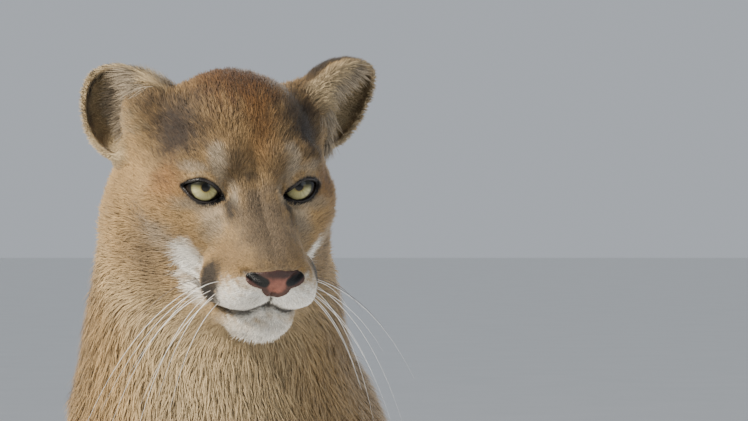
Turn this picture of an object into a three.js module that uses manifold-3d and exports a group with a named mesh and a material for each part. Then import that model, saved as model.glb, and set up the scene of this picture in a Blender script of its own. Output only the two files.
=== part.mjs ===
// A life-size sitting cougar, as a still museum model. Millimetres, +Z up, the animal faces -Y
// and its left side is +X. The body is one smooth field of rounded forms, meshed, thinned and
// then parted into its named pieces by thin cuts.
import * as THREE from "three";
import { mergeVertices } from "three/addons/utils/BufferGeometryUtils.js";
import { edgeTable, triTable } from "three/addons/objects/MarchingCubes.js";
import Module from "manifold-3d";

const wasm = await Module();
wasm.setup();

// Driving dimensions
const GAP = 0.3; // space kept between neighbouring pieces
const EYE_MIDDLE = [20, -150, 790]; // midway between the eyes, which sets the sitting height
const HEAD_YAW = 18.3; // degrees the face is turned to the animal's left
const HEAD_NOD = 18.4; // degrees the face looks down
const HEAD_ROLL = -0.7; // degrees
const EYEBALL = 15; // radius
const LID = 2.9; // thickness of the lids over the eyeball
const EYE_OUT = 37.4; // eye centre from the middle of the face
const EYE_BACK = -4.5; // eye centre behind the plane of the corneas
const EYE_DROP = -2.5; // eye centre below the middle of the brow and cheek
const FLOOR = 0; // level of the soles, the rump and the tail's underside

const SIDES = [
  ["right", -1],
  ["left", 1],
];

// Smooth joins of distance fields: k is the width of the fillet
const blend = (a, b, k) => {
  const h = Math.max(k - Math.abs(a - b), 0) / k;
  return Math.min(a, b) - (h * h * k) / 4;
};
const cutAway = (a, b, k) => -blend(-a, -b, k);
const clamp = (v, lo, hi) => Math.min(hi, Math.max(lo, v));

// A limb is a line from a to b whose radius runs from ra to rb
function limb(x, y, z, a, ra, b, rb) {
  const ux = b[0] - a[0];
  const uy = b[1] - a[1];
  const uz = b[2] - a[2];
  const px = x - a[0];
  const py = y - a[1];
  const pz = z - a[2];
  const t = clamp((px * ux + py * uy + pz * uz) / (ux * ux + uy * uy + uz * uz), 0, 1);
  return Math.hypot(px - t * ux, py - t * uy, pz - t * uz) - (ra + t * (rb - ra));
}

// A ball stretched to three half sizes
function ball(x, y, z, c, r) {
  const px = x - c[0];
  const py = y - c[1];
  const pz = z - c[2];
  const k0 = Math.hypot(px / r[0], py / r[1], pz / r[2]);
  const k1 = Math.hypot(px / r[0] ** 2, py / r[1] ** 2, pz / r[2] ** 2);
  return k1 > 1e-9 ? (k0 * (k0 - 1)) / k1 : -Math.min(...r);
}

// The trunk and neck: [from, radius, to, radius, fillet]
const TRUNK = [
  [[0, 15, 545], 118, [0, 75, 470], 124, 1],
  [[0, 75, 470], 124, [0, 215, 335], 112, 30],
  [[0, 215, 335], 112, [0, 325, 215], 108, 40],
  [[0, 325, 215], 108, [0, 366, 98], 99.5, 30],
  [[-18, -38, 752], 89, [-14, 4, 622], 120, 40],
  [[-6, -44, 668], 78, [0, -62, 520], 70, 50],
  [[-10, -26, 764], 64, [0, 66, 606], 76, 45],
  [[0, -70, 470], 52, [0, -10, 400], 52, 45],
];

// One side's limbs, given for the left: [from, radius, to, radius, fillet]
const SHOULDER = [[66, 62, 590], 50, [96, -48, 478], 70, 50];
const UPPER_ARM = [[96, -48, 478], 70, [92, 22, 352], 56, 45];
const FOREARM = [[92, 20, 345], 54, [78, -22, 118], 33, 30];
const ELBOW = [[94, 48, 345], 34, [92, 30, 290], 34, 30];
const PASTERN = [[78, -24, 116], 34, [78, -50, 52], 36, 22];
const THIGH = [[72, 365, 205], 92, [112, 190, 232], 66, 45];
const HAUNCH = [[82, 330, 128], 88, [108, 215, 160], 66, 40];
const SHANK = [[114, 172, 218], 52, [106, 352, 78], 40, 34];
const HOCK = [[104, 384, 31], 33, [108, 300, 33], 36, 24];
const INSTEP = [[108, 300, 33], 36, [114, 170, 32], 34, 24];

// Paws: the middle of the foot, its half sizes, and how far the four toes reach
const FORE_PAW = { middle: [78, -78, 32], half: [42, 46, 34], toe: 17, reach: 34, spread: 23 };
const HIND_PAW = { middle: [115, 132, 30], half: [38, 46, 32], toe: 15.5, reach: 33, spread: 21 };

// The tail's centreline and its radius at each point, lying round the left haunch
const TAIL = [
  [0, 425, 105, 46],
  [6, 485, 66, 36],
  [48, 540, 34, 32],
  [118, 566, 29.5, 31],
  [192, 540, 29.5, 31],
  [244, 470, 29.5, 31],
  [266, 380, 28.5, 30],
  [266, 285, 28.5, 30],
  [250, 195, 27.5, 29],
  [238, 112, 25.5, 27],
  [232, 62, 20.5, 22],
];

function paw(x, y, z, p) {
  const [cx, cy, cz] = p.middle;
  let d = ball(x, y, z, p.middle, p.half);
  for (let i = 0; i < 4; i++) {
    const across = (i - 1.5) * p.spread;
    const ahead = p.reach - Math.abs(i - 1.5) * 7;
    const knuckle = [cx + across * 0.92, cy - ahead * 0.4, cz + 6];
    const tip = [cx + across * 1.08, cy - ahead - 8, p.toe - 2];
    d = blend(d, limb(x, y, z, knuckle, p.toe, tip, p.toe - 1.5), 7);
  }
  return d;
}

function trunk(x, y, z) {
  let d = Infinity;
  for (const [a, ra, b, rb, k] of TRUNK) d = blend(d, limb(x, y, z, a, ra, b, rb), k);
  return d;
}

function foreleg(x, y, z) {
  let d = limb(x, y, z, ...FOREARM.slice(0, 4));
  for (const [a, ra, b, rb, k] of [ELBOW, PASTERN]) d = blend(d, limb(x, y, z, a, ra, b, rb), k);
  return blend(d, paw(x, y, z, FORE_PAW), 20);
}

function hindleg(x, y, z) {
  let d = limb(x, y, z, ...THIGH.slice(0, 4));
  for (const [a, ra, b, rb, k] of [HAUNCH, SHANK]) d = blend(d, limb(x, y, z, a, ra, b, rb), k);
  let foot = limb(x, y, z, ...HOCK.slice(0, 4));
  foot = blend(foot, limb(x, y, z, ...INSTEP.slice(0, 4)), INSTEP[4]);
  foot = blend(foot, paw(x, y, z, HIND_PAW), 18);
  return blend(d, foot, 14);
}

function tail(x, y, z) {
  let d = Infinity;
  for (let i = 1; i < TAIL.length; i++) {
    const [ax, ay, az, ra] = TAIL[i - 1];
    const [bx, by, bz, rb] = TAIL[i];
    d = blend(d, limb(x, y, z, [ax, ay, az], ra, [bx, by, bz], rb), 12);
  }
  return d;
}

// The body without its head. The two sides mirror each other.
function body(x, y, z) {
  const side = Math.abs(x);
  let d = trunk(x, y, z);
  for (const [a, ra, b, rb, k] of [SHOULDER, UPPER_ARM]) {
    d = blend(d, limb(side, y, z, a, ra, b, rb), k);
  }
  d = blend(d, foreleg(side, y, z), 32);
  d = blend(d, hindleg(side, y, z), 36);
  return blend(d, tail(x, y, z), 14);
}

// The head's own frame: across to the animal's left, forward along the face, and up
const turn = new THREE.Matrix4()
  .makeRotationY(THREE.MathUtils.degToRad(HEAD_ROLL))
  .multiply(new THREE.Matrix4().makeRotationZ(THREE.MathUtils.degToRad(HEAD_YAW)))
  .multiply(new THREE.Matrix4().makeRotationX(THREE.MathUtils.degToRad(HEAD_NOD)));
const across = new THREE.Vector3(1, 0, 0).transformDirection(turn);
const forward = new THREE.Vector3(0, -1, 0).transformDirection(turn);
const up = new THREE.Vector3(0, 0, 1).transformDirection(turn);
const headFrame = new THREE.Matrix4().makeBasis(across, forward.clone().negate(), up);
headFrame.setPosition(...EYE_MIDDLE);

function inHead(x, y, z) {
  const px = x - EYE_MIDDLE[0];
  const py = y - EYE_MIDDLE[1];
  const pz = z - EYE_MIDDLE[2];
  return [
    px * across.x + py * across.y + pz * across.z,
    px * forward.x + py * forward.y + pz * forward.z,
    px * up.x + py * up.y + pz * up.z,
  ];
}

// Forms of the head, in its own frame (across, forward, up): [middle, half sizes, fillet]
const SKULL = [
  [[0, -62, 8], [62, 66, 62], 1],
  [[0, -50, 17], [48, 48, 44], 24],
];
const FACE_SIDE = [
  [[37, -36, -26], [37, 50, 40], 26],
  [[37, -46, -62], [34, 46, 40], 30],
  [[50, -80, -38], [34, 40, 54], 34],
  [[60, -84, 30], [24, 26, 26], 22],
];
const BRIDGE = [[9, -6, -6], 20, [9, 60, -45], 16.5, 18];
const BROW = [[20, 2, 19], 11, [47, -14, 15], 11, 16];
const CHEEKBONE = [[34, 8, -34], 16, [53, -26, -22], 18, 22];
const MUZZLE = [[0, 5, -52], 40, [0, 44, -56], 32, 22];
const WHISKER_PAD = [[20, 53, -63], [21.5, 29, 20.5], 9];
const PAD_REAR = [[33, 38, -65], [13, 18, 19], 10];
const NOSE_TIP = [[0, 66, -48], [20, 18, 15.5], 8];
const CHIN = [[0, 50, -93], [23, 22, 16], 12];
const JAW = [[13, 40, -90], 16, [41, -40, -78], 27, 16];

// Height of the closed mouth along the head, from its corner to the front
const MOUTH = { corner: 2, front: 82, low: -83, lowAt: 52, rise: 12 };
const mouthHeight = (f) => {
  const back = (f - MOUTH.lowAt) / (f < MOUTH.lowAt ? MOUTH.lowAt - MOUTH.corner : 36);
  return MOUTH.low + MOUTH.rise * Math.min(back * back, 2.2);
};

const eyeCentre = (s) => [s * EYE_OUT, EYE_BACK, EYE_DROP];
const EYE_TURN = THREE.MathUtils.degToRad(13); // how far each eye looks outward
const SLIT = { half: 16.5, above: 9.2, below: 8.8, low: -0.6, slant: 0.12, tear: 0.013 };

// The almond opening between the lids, in front of the eyeball
function slit(l, f, u, s) {
  const [cl, cf, cu] = eyeCentre(s);
  const dl = (l - cl) * s;
  const a = dl * Math.cos(EYE_TURN) - (f - cf) * Math.sin(EYE_TURN);
  const ahead = dl * Math.sin(EYE_TURN) + (f - cf) * Math.cos(EYE_TURN);
  const inner = Math.min(a, 0); // the inner corner runs down towards the nose
  const b = u - cu - SLIT.low - a * SLIT.slant + SLIT.tear * inner * inner;
  const open = 1 - (a / SLIT.half) ** 2;
  const rim = Math.max(b - SLIT.above * open, -b - SLIT.below * open) * 0.72;
  return Math.max(rim, 3 - ahead);
}

function head(l, f, u) {
  const s = Math.abs(l);
  let d = Infinity;
  for (const [c, r, k] of SKULL) d = blend(d, ball(l, f, u, c, r), k);
  for (const [c, r, k] of FACE_SIDE) d = blend(d, ball(s, f, u, c, r), k);
  d = blend(d, limb(l, f, u, ...MUZZLE.slice(0, 4)), MUZZLE[4]);
  for (const [a, ra, b, rb, k] of [BRIDGE, CHEEKBONE, JAW, BROW]) {
    d = blend(d, limb(s, f, u, a, ra, b, rb), k);
  }
  d = blend(d, ball(l, f, u, ...CHIN.slice(0, 2)), CHIN[2]);
  d = blend(d, ball(s, f, u, ...WHISKER_PAD.slice(0, 2)), WHISKER_PAD[2]);
  d = blend(d, ball(s, f, u, ...PAD_REAR.slice(0, 2)), PAD_REAR[2]);
  d = blend(d, ball(l, f, u, ...NOSE_TIP.slice(0, 2)), NOSE_TIP[2]);
  // the line of the mouth, the cleft under the nose and the nostrils
  if (f > MOUTH.corner - 6) d = cutAway(d, 2.6 - Math.hypot(u - mouthHeight(f), d), 2);
  const cleft = Math.max(Math.abs(u + 70) - 8, 0);
  if (f > 60) d = cutAway(d, 1.8 - Math.hypot(l, d, cleft), 2);
  d = cutAway(d, -limb(s, f, u, [10.5, 88, -51], 4.4, [21, 76, -46], 2.6), 2);
  // sockets pressed in, lids over the eyeballs, and the openings between the lids
  const [cl, cf, cu] = eyeCentre(1);
  d = cutAway(d, -ball(s, f, u, [cl + 3, cf + 17, cu - 1], [19, 10, 13]), 10);
  d = blend(d, Math.hypot(s - cl, f - cf, u - cu) - EYEBALL - LID, 6);
  return cutAway(d, -slit(s, f, u, 1), 1.2);
}

// Ears: a hollow half egg each, facing its own way. Directions are in the head's frame.
const EAR = { half: [34, 38, 26], wall: 4.6, sunk: 16 };
const EARS = {
  left: { middle: [97, -94, 37], along: [0.79, -0.345, 0.5], facing: [0.43, 0.8, -0.2] },
  right: { middle: [-78, -94, 30], along: [-0.57, -0.5, 0.62], facing: [-0.5, 0.84, 0.2] },
};
for (const ear of Object.values(EARS)) {
  const along = new THREE.Vector3(...ear.along).normalize();
  const facing = new THREE.Vector3(...ear.facing);
  facing.addScaledVector(along, -facing.dot(along)).normalize();
  ear.axes = [new THREE.Vector3().crossVectors(along, facing), along, facing];
  ear.middle = new THREE.Vector3(...ear.middle);
  ear.root = ear.middle.clone().addScaledVector(along, EAR.sunk - EAR.half[1]).toArray();
}

function earField(l, f, u, ear) {
  const p = new THREE.Vector3(l, f, u).sub(ear.middle);
  const [a, b, c] = ear.axes.map((axis) => p.dot(axis));
  const tall = b / EAR.half[1];
  const wide = EAR.half[0] * (1 - 0.16 * tall);
  const shell = Math.abs(ball(a, b, c + 2, [0, 0, 0], [wide, EAR.half[1], EAR.half[2]])) - EAR.wall / 2;
  return cutAway(shell, c - 5 * (1 - tall), 3);
}

function animal(x, y, z) {
  let d = body(x, y, z);
  const [l, f, u] = inHead(x, y, z);
  if (Math.hypot(l, f + 30, u + 10) < 210) {
    d = blend(d, head(l, f, u), 24);
    for (const ear of Object.values(EARS)) d = blend(d, earField(l, f, u, ear), 9);
  }
  return d;
}

// Marching cubes over a box, closed at the box's own faces
const CORNERS = [
  [0, 0, 0],
  [1, 0, 0],
  [1, 1, 0],
  [0, 1, 0],
  [0, 0, 1],
  [1, 0, 1],
  [1, 1, 1],
  [0, 1, 1],
];
const EDGES = [
  [0, 1],
  [1, 2],
  [3, 2],
  [0, 3],
  [4, 5],
  [5, 6],
  [7, 6],
  [4, 7],
  [0, 4],
  [1, 5],
  [2, 6],
  [3, 7],
];

function mesh(field, low, high, step) {
  const n = low.map((v, i) => Math.ceil((high[i] - v) / step) + 3);
  const at = (i, j, k) => i + n[0] * (j + n[1] * k);
  const place = (i, axis) => low[axis] + (i - 1) * step;
  const values = new Float64Array(n[0] * n[1] * n[2]).fill(1);
  const span = [0, 1, 2, 3];
  const reach = 2.6 * 1.4 * step; // from a group's middle to its corner, with room for the blends
  for (let k = 1; k < n[2] - 1; k += 4) {
    for (let j = 1; j < n[1] - 1; j += 4) {
      for (let i = 1; i < n[0] - 1; i += 4) {
        const middle = field(place(i + 1.5, 0), place(j + 1.5, 1), place(k + 1.5, 2));
        for (const c of span.filter((o) => k + o < n[2] - 1)) {
          for (const b of span.filter((o) => j + o < n[1] - 1)) {
            for (const a of span.filter((o) => i + o < n[0] - 1)) {
              values[at(i + a, j + b, k + c)] = Math.abs(middle) > reach
                ? middle
                : field(place(i + a, 0), place(j + b, 1), place(k + c, 2));
            }
          }
        }
      }
    }
  }
  const points = [];
  const faces = [];
  const made = new Map();
  const vertex = (cell, e) => {
    const [c0, c1] = EDGES[e].map((c) => CORNERS[c].map((o, axis) => o + cell[axis]));
    const v0 = values[at(...c0)];
    const v1 = values[at(...c1)];
    const key = at(...c0) * 3 + c1.findIndex((v, axis) => v !== c0[axis]);
    if (!made.has(key)) {
      const t = clamp(v0 / (v0 - v1), 0.04, 0.96);
      made.set(key, points.length / 3);
      for (let axis = 0; axis < 3; axis++) {
        points.push(place(c0[axis], axis) + t * (c1[axis] - c0[axis]) * step);
      }
    }
    return made.get(key);
  };
  for (let k = 0; k < n[2] - 1; k++) {
    for (let j = 0; j < n[1] - 1; j++) {
      for (let i = 0; i < n[0] - 1; i++) {
        const cell = [i, j, k];
        let kind = 0;
        CORNERS.forEach(([a, b, c], bit) => {
          if (values[at(i + a, j + b, k + c)] < 0) kind |= 1 << bit;
        });
        if (!edgeTable[kind]) continue;
        for (let t = kind * 16; triTable[t] >= 0; t += 3) {
          faces.push([0, 2, 1].map((o) => vertex(cell, triTable[t + o])));
        }
      }
    }
  }
  return { points, faces };
}

// Moves a point straight onto the surface where the field is nought
const SLOPE_STEP = 0.05; // spacing over which the field's slope is taken
const LEAST_STEEP = 0.25; // keeps a point from jumping where the field is nearly level
function settle(field, P, i, most) {
  const h = SLOPE_STEP;
  for (let round = 0; round < 2; round++) {
    const [x, y, z] = [P[i], P[i + 1], P[i + 2]];
    const d = field(x, y, z);
    const ahead = [field(x + h, y, z), field(x, y + h, z), field(x, y, z + h)];
    const slope = ahead.map((v) => (v - d) / h);
    const steep = Math.max(slope[0] ** 2 + slope[1] ** 2 + slope[2] ** 2, LEAST_STEEP);
    const move = clamp(d, -most, most) / steep;
    slope.forEach((v, axis) => (P[i + axis] -= v * move));
  }
}

const EDGE = 0.5; // points this near the sides of a meshed box stay where they are
const inside = (P, i, low, high) =>
  [0, 1, 2].every((a) => P[i + a] > low[a] + EDGE && P[i + a] < high[a] - EDGE);

function settleAll(field, part, low, high, most) {
  const P = part.points;
  for (let i = 0; i < P.length; i += 3) if (inside(P, i, low, high)) settle(field, P, i, most);
  return part;
}

// Evens out the faces of a thinned mesh on its smooth stretches and leaves creases alone
const SMOOTH_TURN = 0.93; // cosine of the most a face may lean from its corner's normal
const SHARE = 0.45; // part of the way a point moves to the middle of its neighbours
const RELAX_MOVE = 1.5; // furthest a point is then moved back onto the surface
function relax(field, part, low, high, rounds) {
  const { points: P, faces } = part;
  const count = P.length / 3;
  const near = Array.from({ length: count }, () => new Set());
  for (const f of faces) for (const v of f) for (const w of f) if (v !== w) near[v].add(w);
  for (let round = 0; round < rounds; round++) {
    const N = new Float64Array(count * 3);
    const normals = faces.map(([a, b, c]) => {
      const u = [0, 1, 2].map((i) => P[3 * b + i] - P[3 * a + i]);
      const v = [0, 1, 2].map((i) => P[3 * c + i] - P[3 * a + i]);
      const n = [u[1] * v[2] - u[2] * v[1], u[2] * v[0] - u[0] * v[2], u[0] * v[1] - u[1] * v[0]];
      for (const w of [a, b, c]) for (let i = 0; i < 3; i++) N[3 * w + i] += n[i];
      return n;
    });
    const sharp = new Uint8Array(count);
    faces.forEach((f, index) => {
      const n = normals[index];
      for (const w of f) {
        const dot = n[0] * N[3 * w] + n[1] * N[3 * w + 1] + n[2] * N[3 * w + 2];
        const size = Math.hypot(...n) * Math.hypot(N[3 * w], N[3 * w + 1], N[3 * w + 2]);
        if (dot < SMOOTH_TURN * size) sharp[w] = 1;
      }
    });
    for (let v = 0; v < count; v++) {
      if (sharp[v] || !near[v].size || !inside(P, 3 * v, low, high)) continue;
      for (let i = 0; i < 3; i++) {
        let sum = 0;
        for (const w of near[v]) sum += P[3 * w + i];
        P[3 * v + i] += SHARE * (sum / near[v].size - P[3 * v + i]);
      }
      settle(field, P, 3 * v, RELAX_MOVE);
    }
  }
  return part;
}

const SLIM = [0.2, 0.12, 0.06, 0.02]; // thinnest new face allowed, pass by pass
const EVEN = 6e-4; // how strongly long collapses are put off, which keeps the faces even
const FOLD_TURN = 0.35; // cosine of the most a face may turn in one collapse

// Thins a closed mesh to about `target` faces by edge collapses that cost the least
// squared distance to the faces they replace. No collapse may fold or pinch the surface.
function thin({ points, faces }, target) {
  const P = Float64Array.from(points);
  const F = faces.map((f) => [...f]);
  const count = P.length / 3;
  const Q = new Float64Array(count * 10);
  const around = Array.from({ length: count }, () => new Set());
  const stamp = new Uint32Array(count);
  const sub = (a, b) => [P[3 * a] - P[3 * b], P[3 * a + 1] - P[3 * b + 1], P[3 * a + 2] - P[3 * b + 2]];
  const crossOf = (u, v) => [u[1] * v[2] - u[2] * v[1], u[2] * v[0] - u[0] * v[2], u[0] * v[1] - u[1] * v[0]];
  F.forEach(([a, b, c], index) => {
    const n = crossOf(sub(b, a), sub(c, a));
    const twice = Math.hypot(...n) || 1e-12;
    const [x, y, z] = n.map((v) => v / twice);
    const w = -(x * P[3 * a] + y * P[3 * a + 1] + z * P[3 * a + 2]);
    const terms = [x * x, x * y, x * z, x * w, y * y, y * z, y * w, z * z, z * w, w * w];
    for (const v of [a, b, c]) {
      around[v].add(index);
      terms.forEach((term, i) => (Q[v * 10 + i] += term * twice));
    }
  });
  const error = (q, [x, y, z]) =>
    q[0] * x * x + 2 * q[1] * x * y + 2 * q[2] * x * z + 2 * q[3] * x + q[4] * y * y +
    2 * q[5] * y * z + 2 * q[6] * y + q[7] * z * z + 2 * q[8] * z + q[9];
  const plan = (u, v) => {
    const q = Array.from({ length: 10 }, (_, i) => Q[u * 10 + i] + Q[v * 10 + i]);
    const a = [P[3 * u], P[3 * u + 1], P[3 * u + 2]];
    const b = [P[3 * v], P[3 * v + 1], P[3 * v + 2]];
    const middle = a.map((x, i) => (x + b[i]) / 2);
    const length = Math.hypot(...sub(u, v));
    // the best point, held near the middle by a weak pull
    const pull = (q[0] + q[4] + q[7]) * 1e-3 + 1e-9;
    const m = new THREE.Matrix3().set(
      q[0] + pull, q[1], q[2],
      q[1], q[4] + pull, q[5],
      q[2], q[5], q[7] + pull,
    );
    const r = new THREE.Vector3(
      pull * middle[0] - q[3],
      pull * middle[1] - q[6],
      pull * middle[2] - q[8],
    ).applyMatrix3(m.invert());
    const best = [r.x, r.y, r.z];
    const far = Math.hypot(...best.map((x, i) => x - middle[i])) > length;
    const to = far ? middle : best;
    return { u, v, to, cost: error(q, to) + EVEN * length ** 4, su: stamp[u], sv: stamp[v] };
  };
  const heap = [];
  const push = (item) => {
    let i = heap.push(item) - 1;
    while (i > 0) {
      const up = (i - 1) >> 1;
      if (heap[up].cost <= item.cost) break;
      heap[i] = heap[up];
      i = up;
    }
    heap[i] = item;
  };
  const pop = () => {
    const top = heap[0];
    const item = heap.pop();
    if (!heap.length) return top;
    let i = 0;
    for (;;) {
      let child = 2 * i + 1;
      if (child >= heap.length) break;
      if (child + 1 < heap.length && heap[child + 1].cost < heap[child].cost) child++;
      if (heap[child].cost >= item.cost) break;
      heap[i] = heap[child];
      i = child;
    }
    heap[i] = item;
    return top;
  };
  const neighbours = (v) => {
    const found = new Set();
    for (const f of around[v]) for (const w of F[f]) if (w !== v) found.add(w);
    return found;
  };
  let left = F.length;
  const longestSide = (f) =>
    Math.max(...f.map((a, i) => Math.hypot(...a.map((x, j) => x - f[(i + 1) % 3][j]))));
  const folds = (v, other, to, slim) => {
    for (const index of around[v]) {
      const face = F[index];
      if (face.includes(other)) continue;
      const was = face.map((w) => [P[3 * w], P[3 * w + 1], P[3 * w + 2]]);
      const now = face.map((w, i) => (w === v ? to : was[i]));
      const [n0, n1] = [was, now].map(([a, b, c]) =>
        crossOf(b.map((x, i) => x - a[i]), c.map((x, i) => x - a[i])),
      );
      const dot = n0[0] * n1[0] + n0[1] * n1[1] + n0[2] * n1[2];
      if (dot < FOLD_TURN * Math.hypot(...n0) * Math.hypot(...n1)) return true;
      const [fat0, fat1] = [was, now].map((f, i) => Math.hypot(...[n0, n1][i]) / longestSide(f) ** 2);
      if (fat1 < slim && fat1 < fat0) return true;
    }
    return false;
  };
  const collapse = ({ u, v, to, su, sv }, slim) => {
    if (stamp[u] !== su || stamp[v] !== sv || !around[u].size || !around[v].size) return;
    const nu = neighbours(u);
    if (!nu.has(v)) return;
    let shared = 0;
    for (const w of neighbours(v)) if (nu.has(w)) shared++;
    if (shared !== 2 || folds(u, v, to, slim) || folds(v, u, to, slim)) return;
    to.forEach((x, i) => (P[3 * u + i] = x));
    for (let i = 0; i < 10; i++) Q[u * 10 + i] += Q[v * 10 + i];
    for (const index of around[v]) {
      const face = F[index];
      if (face.includes(u)) {
        for (const w of face) if (w !== v) around[w].delete(index);
        F[index] = null;
        left--;
      } else {
        face[face.indexOf(v)] = u;
        around[u].add(index);
      }
    }
    around[v].clear();
    stamp[v]++;
    stamp[u]++;
    for (const w of neighbours(u)) push(plan(u, w));
  };
  for (const slim of SLIM) {
    for (let v = 0; v < count; v++) for (const w of neighbours(v)) if (v < w) push(plan(v, w));
    while (left > target && heap.length) collapse(pop(), slim);
    heap.length = 0;
  }
  return { points: P, faces: F.filter(Boolean) };
}

// Solids
const SAME_POINT = 1e-4;
function solidFrom({ points, faces }) {
  return new wasm.Manifold(
    new wasm.Mesh({
      numProp: 3,
      vertProperties: Float32Array.from(points),
      triVerts: Uint32Array.from(faces.flat()),
    }),
  );
}

function arraysOf(solid) {
  const m = solid.getMesh();
  const points = new Float32Array(m.numVert * 3);
  for (let i = 0; i < m.numVert; i++) {
    points.set(m.vertProperties.subarray(i * m.numProp, i * m.numProp + 3), i * 3);
  }
  return { points, faces: m.triVerts };
}

function solidOf(geometry, matrix) {
  const g = geometry.clone();
  g.deleteAttribute("normal");
  g.deleteAttribute("uv");
  if (matrix) g.applyMatrix4(matrix);
  const merged = mergeVertices(g, SAME_POINT);
  return new wasm.Manifold(
    new wasm.Mesh({
      numProp: 3,
      vertProperties: merged.attributes.position.array,
      triVerts: new Uint32Array(merged.index.array),
    }),
  );
}

// Everything on the side of a plane that its normal points to, from `gap` past the plane
const VAST = 3000;
function beyond(point, normal, gap = GAP / 2) {
  const n = new THREE.Vector3(...normal).normalize();
  const turned = new THREE.Quaternion().setFromUnitVectors(new THREE.Vector3(0, 0, 1), n);
  const centre = new THREE.Vector3(...point).addScaledVector(n, gap + VAST / 2);
  const matrix = new THREE.Matrix4().compose(centre, turned, new THREE.Vector3(1, 1, 1));
  return solidOf(new THREE.BoxGeometry(VAST, VAST, VAST), matrix);
}

function block(low, high, matrix) {
  const size = high.map((v, i) => v - low[i]);
  const middle = high.map((v, i) => (v + low[i]) / 2);
  const move = new THREE.Matrix4().makeTranslation(...middle);
  if (matrix) move.premultiply(matrix);
  return solidOf(new THREE.BoxGeometry(...size), move);
}

// Keeps the largest closed surface of a solid
function largest(solid) {
  return solid.decompose().sort((a, b) => b.volume() - a.volume())[0];
}

// Regions of the animal, each meshed at its own step and thinned to its own count
const REGIONS = {
  head: { low: [-160, -270, 630], high: [190, 110, 940], step: 3, faces: 7600 },
  trunk: { low: [-210, -190, -30], high: [210, 500, 860], step: 10, faces: 2500 },
  forePaw: { low: [10, -160, -30], high: [150, 40, 140], step: 4.5, faces: 560 },
  foreleg: { low: [4, -130, 80], high: [180, 130, 560], step: 8, faces: 620 },
  hindleg: { low: [20, 40, 20], high: [230, 500, 400], step: 9, faces: 700 },
  hindPaw: { low: [50, 30, -30], high: [190, 450, 110], step: 5.5, faces: 640 },
  tail: { low: [-60, 20, -30], high: [330, 640, 170], step: 7, faces: 950 },
};

function region(name) {
  const { low, high, step, faces } = REGIONS[name];
  const fine = settleAll(animal, mesh(animal, low, high, step), low, high, step);
  const light = relax(animal, thin(fine, faces), low, high, 3);
  return largest(solidFrom(light)).intersect(beyond([0, 0, FLOOR], [0, 0, 1], 0));
}

function mirrored(solid) {
  const { points, faces } = arraysOf(solid);
  for (let i = 0; i < points.length; i += 3) points[i] = -points[i];
  const turned = [];
  for (let i = 0; i < faces.length; i += 3) turned.push([faces[i], faces[i + 2], faces[i + 1]]);
  return solidFrom({ points, faces: turned });
}

// Where the animal is parted: planes and blocks
const HEAD_CUT = { point: [0, -125, 672], normal: [0.1, -0.57, 0.82] };
const NECK_CUT = { point: [0, -15, 607], normal: [0, -0.396, 0.918] };
const WRIST = 92;
const CHEST_UNDER = 388;
const ARM_BACK = 92;
const HEEL_TOP = 66;
const TAIL_ROOT = { point: [0, 462, 82], normal: [0.05, 0.84, -0.54] };
const TAIL_JOINTS = [
  { point: [155, 556, 32], normal: [0.95, -0.3, 0] },
  { point: [262, 250, 30], normal: [-0.1, -1, 0] },
];

const toWorld = (p) => new THREE.Vector3(p[0], -p[1], p[2]).applyMatrix4(headFrame).toArray();
const turnToWorld = (d) => across.clone().multiplyScalar(d[0])
  .addScaledVector(forward, d[1]).addScaledVector(up, d[2]).toArray();

// A prism over an outline drawn in the side view, from x = near to x = far
function prism(outline, near, far) {
  const shape = new THREE.Shape(outline.map(([y, z]) => new THREE.Vector2(y, z)));
  const geometry = new THREE.ExtrudeGeometry(shape, { depth: far - near, bevelEnabled: false });
  const matrix = new THREE.Matrix4().makeBasis(
    new THREE.Vector3(0, 1, 0),
    new THREE.Vector3(0, 0, 1),
    new THREE.Vector3(1, 0, 0),
  );
  matrix.setPosition(near, 0, 0);
  return solidOf(geometry, matrix);
}
const oval = (cy, cz, ry, rz, tilt, count = 28) =>
  Array.from({ length: count }, (_, i) => {
    const a = (2 * Math.PI * i) / count;
    const y = ry * Math.cos(a);
    const z = rz * Math.sin(a);
    return [cy + y * Math.cos(tilt) - z * Math.sin(tilt), cz + y * Math.sin(tilt) + z * Math.cos(tilt)];
  });

const SHOULDER_OVAL = [-22, 470, 92, 128, -0.35];
const HAUNCH_OVAL = [272, 172, 176, 138, -0.12];
const SHOULDER_IN = 62;
const HAUNCH_IN = 50;

function forelegCutter(grow) {
  const [y, z, ry, rz, tilt] = SHOULDER_OVAL;
  const upper = prism(oval(y, z, ry + grow, rz + grow, tilt), SHOULDER_IN - grow, 260);
  const lower = block([4 - grow, -220, -20], [260, ARM_BACK + grow, CHEST_UNDER + grow]);
  return upper.add(lower);
}

function hindlegCutter(grow) {
  const [y, z, ry, rz, tilt] = HAUNCH_OVAL;
  return prism(oval(y, z, ry + grow, rz + grow, tilt), HAUNCH_IN - grow, 205)
    .add(block([HAUNCH_IN - grow, 40, -20], [205, 440 + grow, HEEL_TOP + 30]));
}

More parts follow.
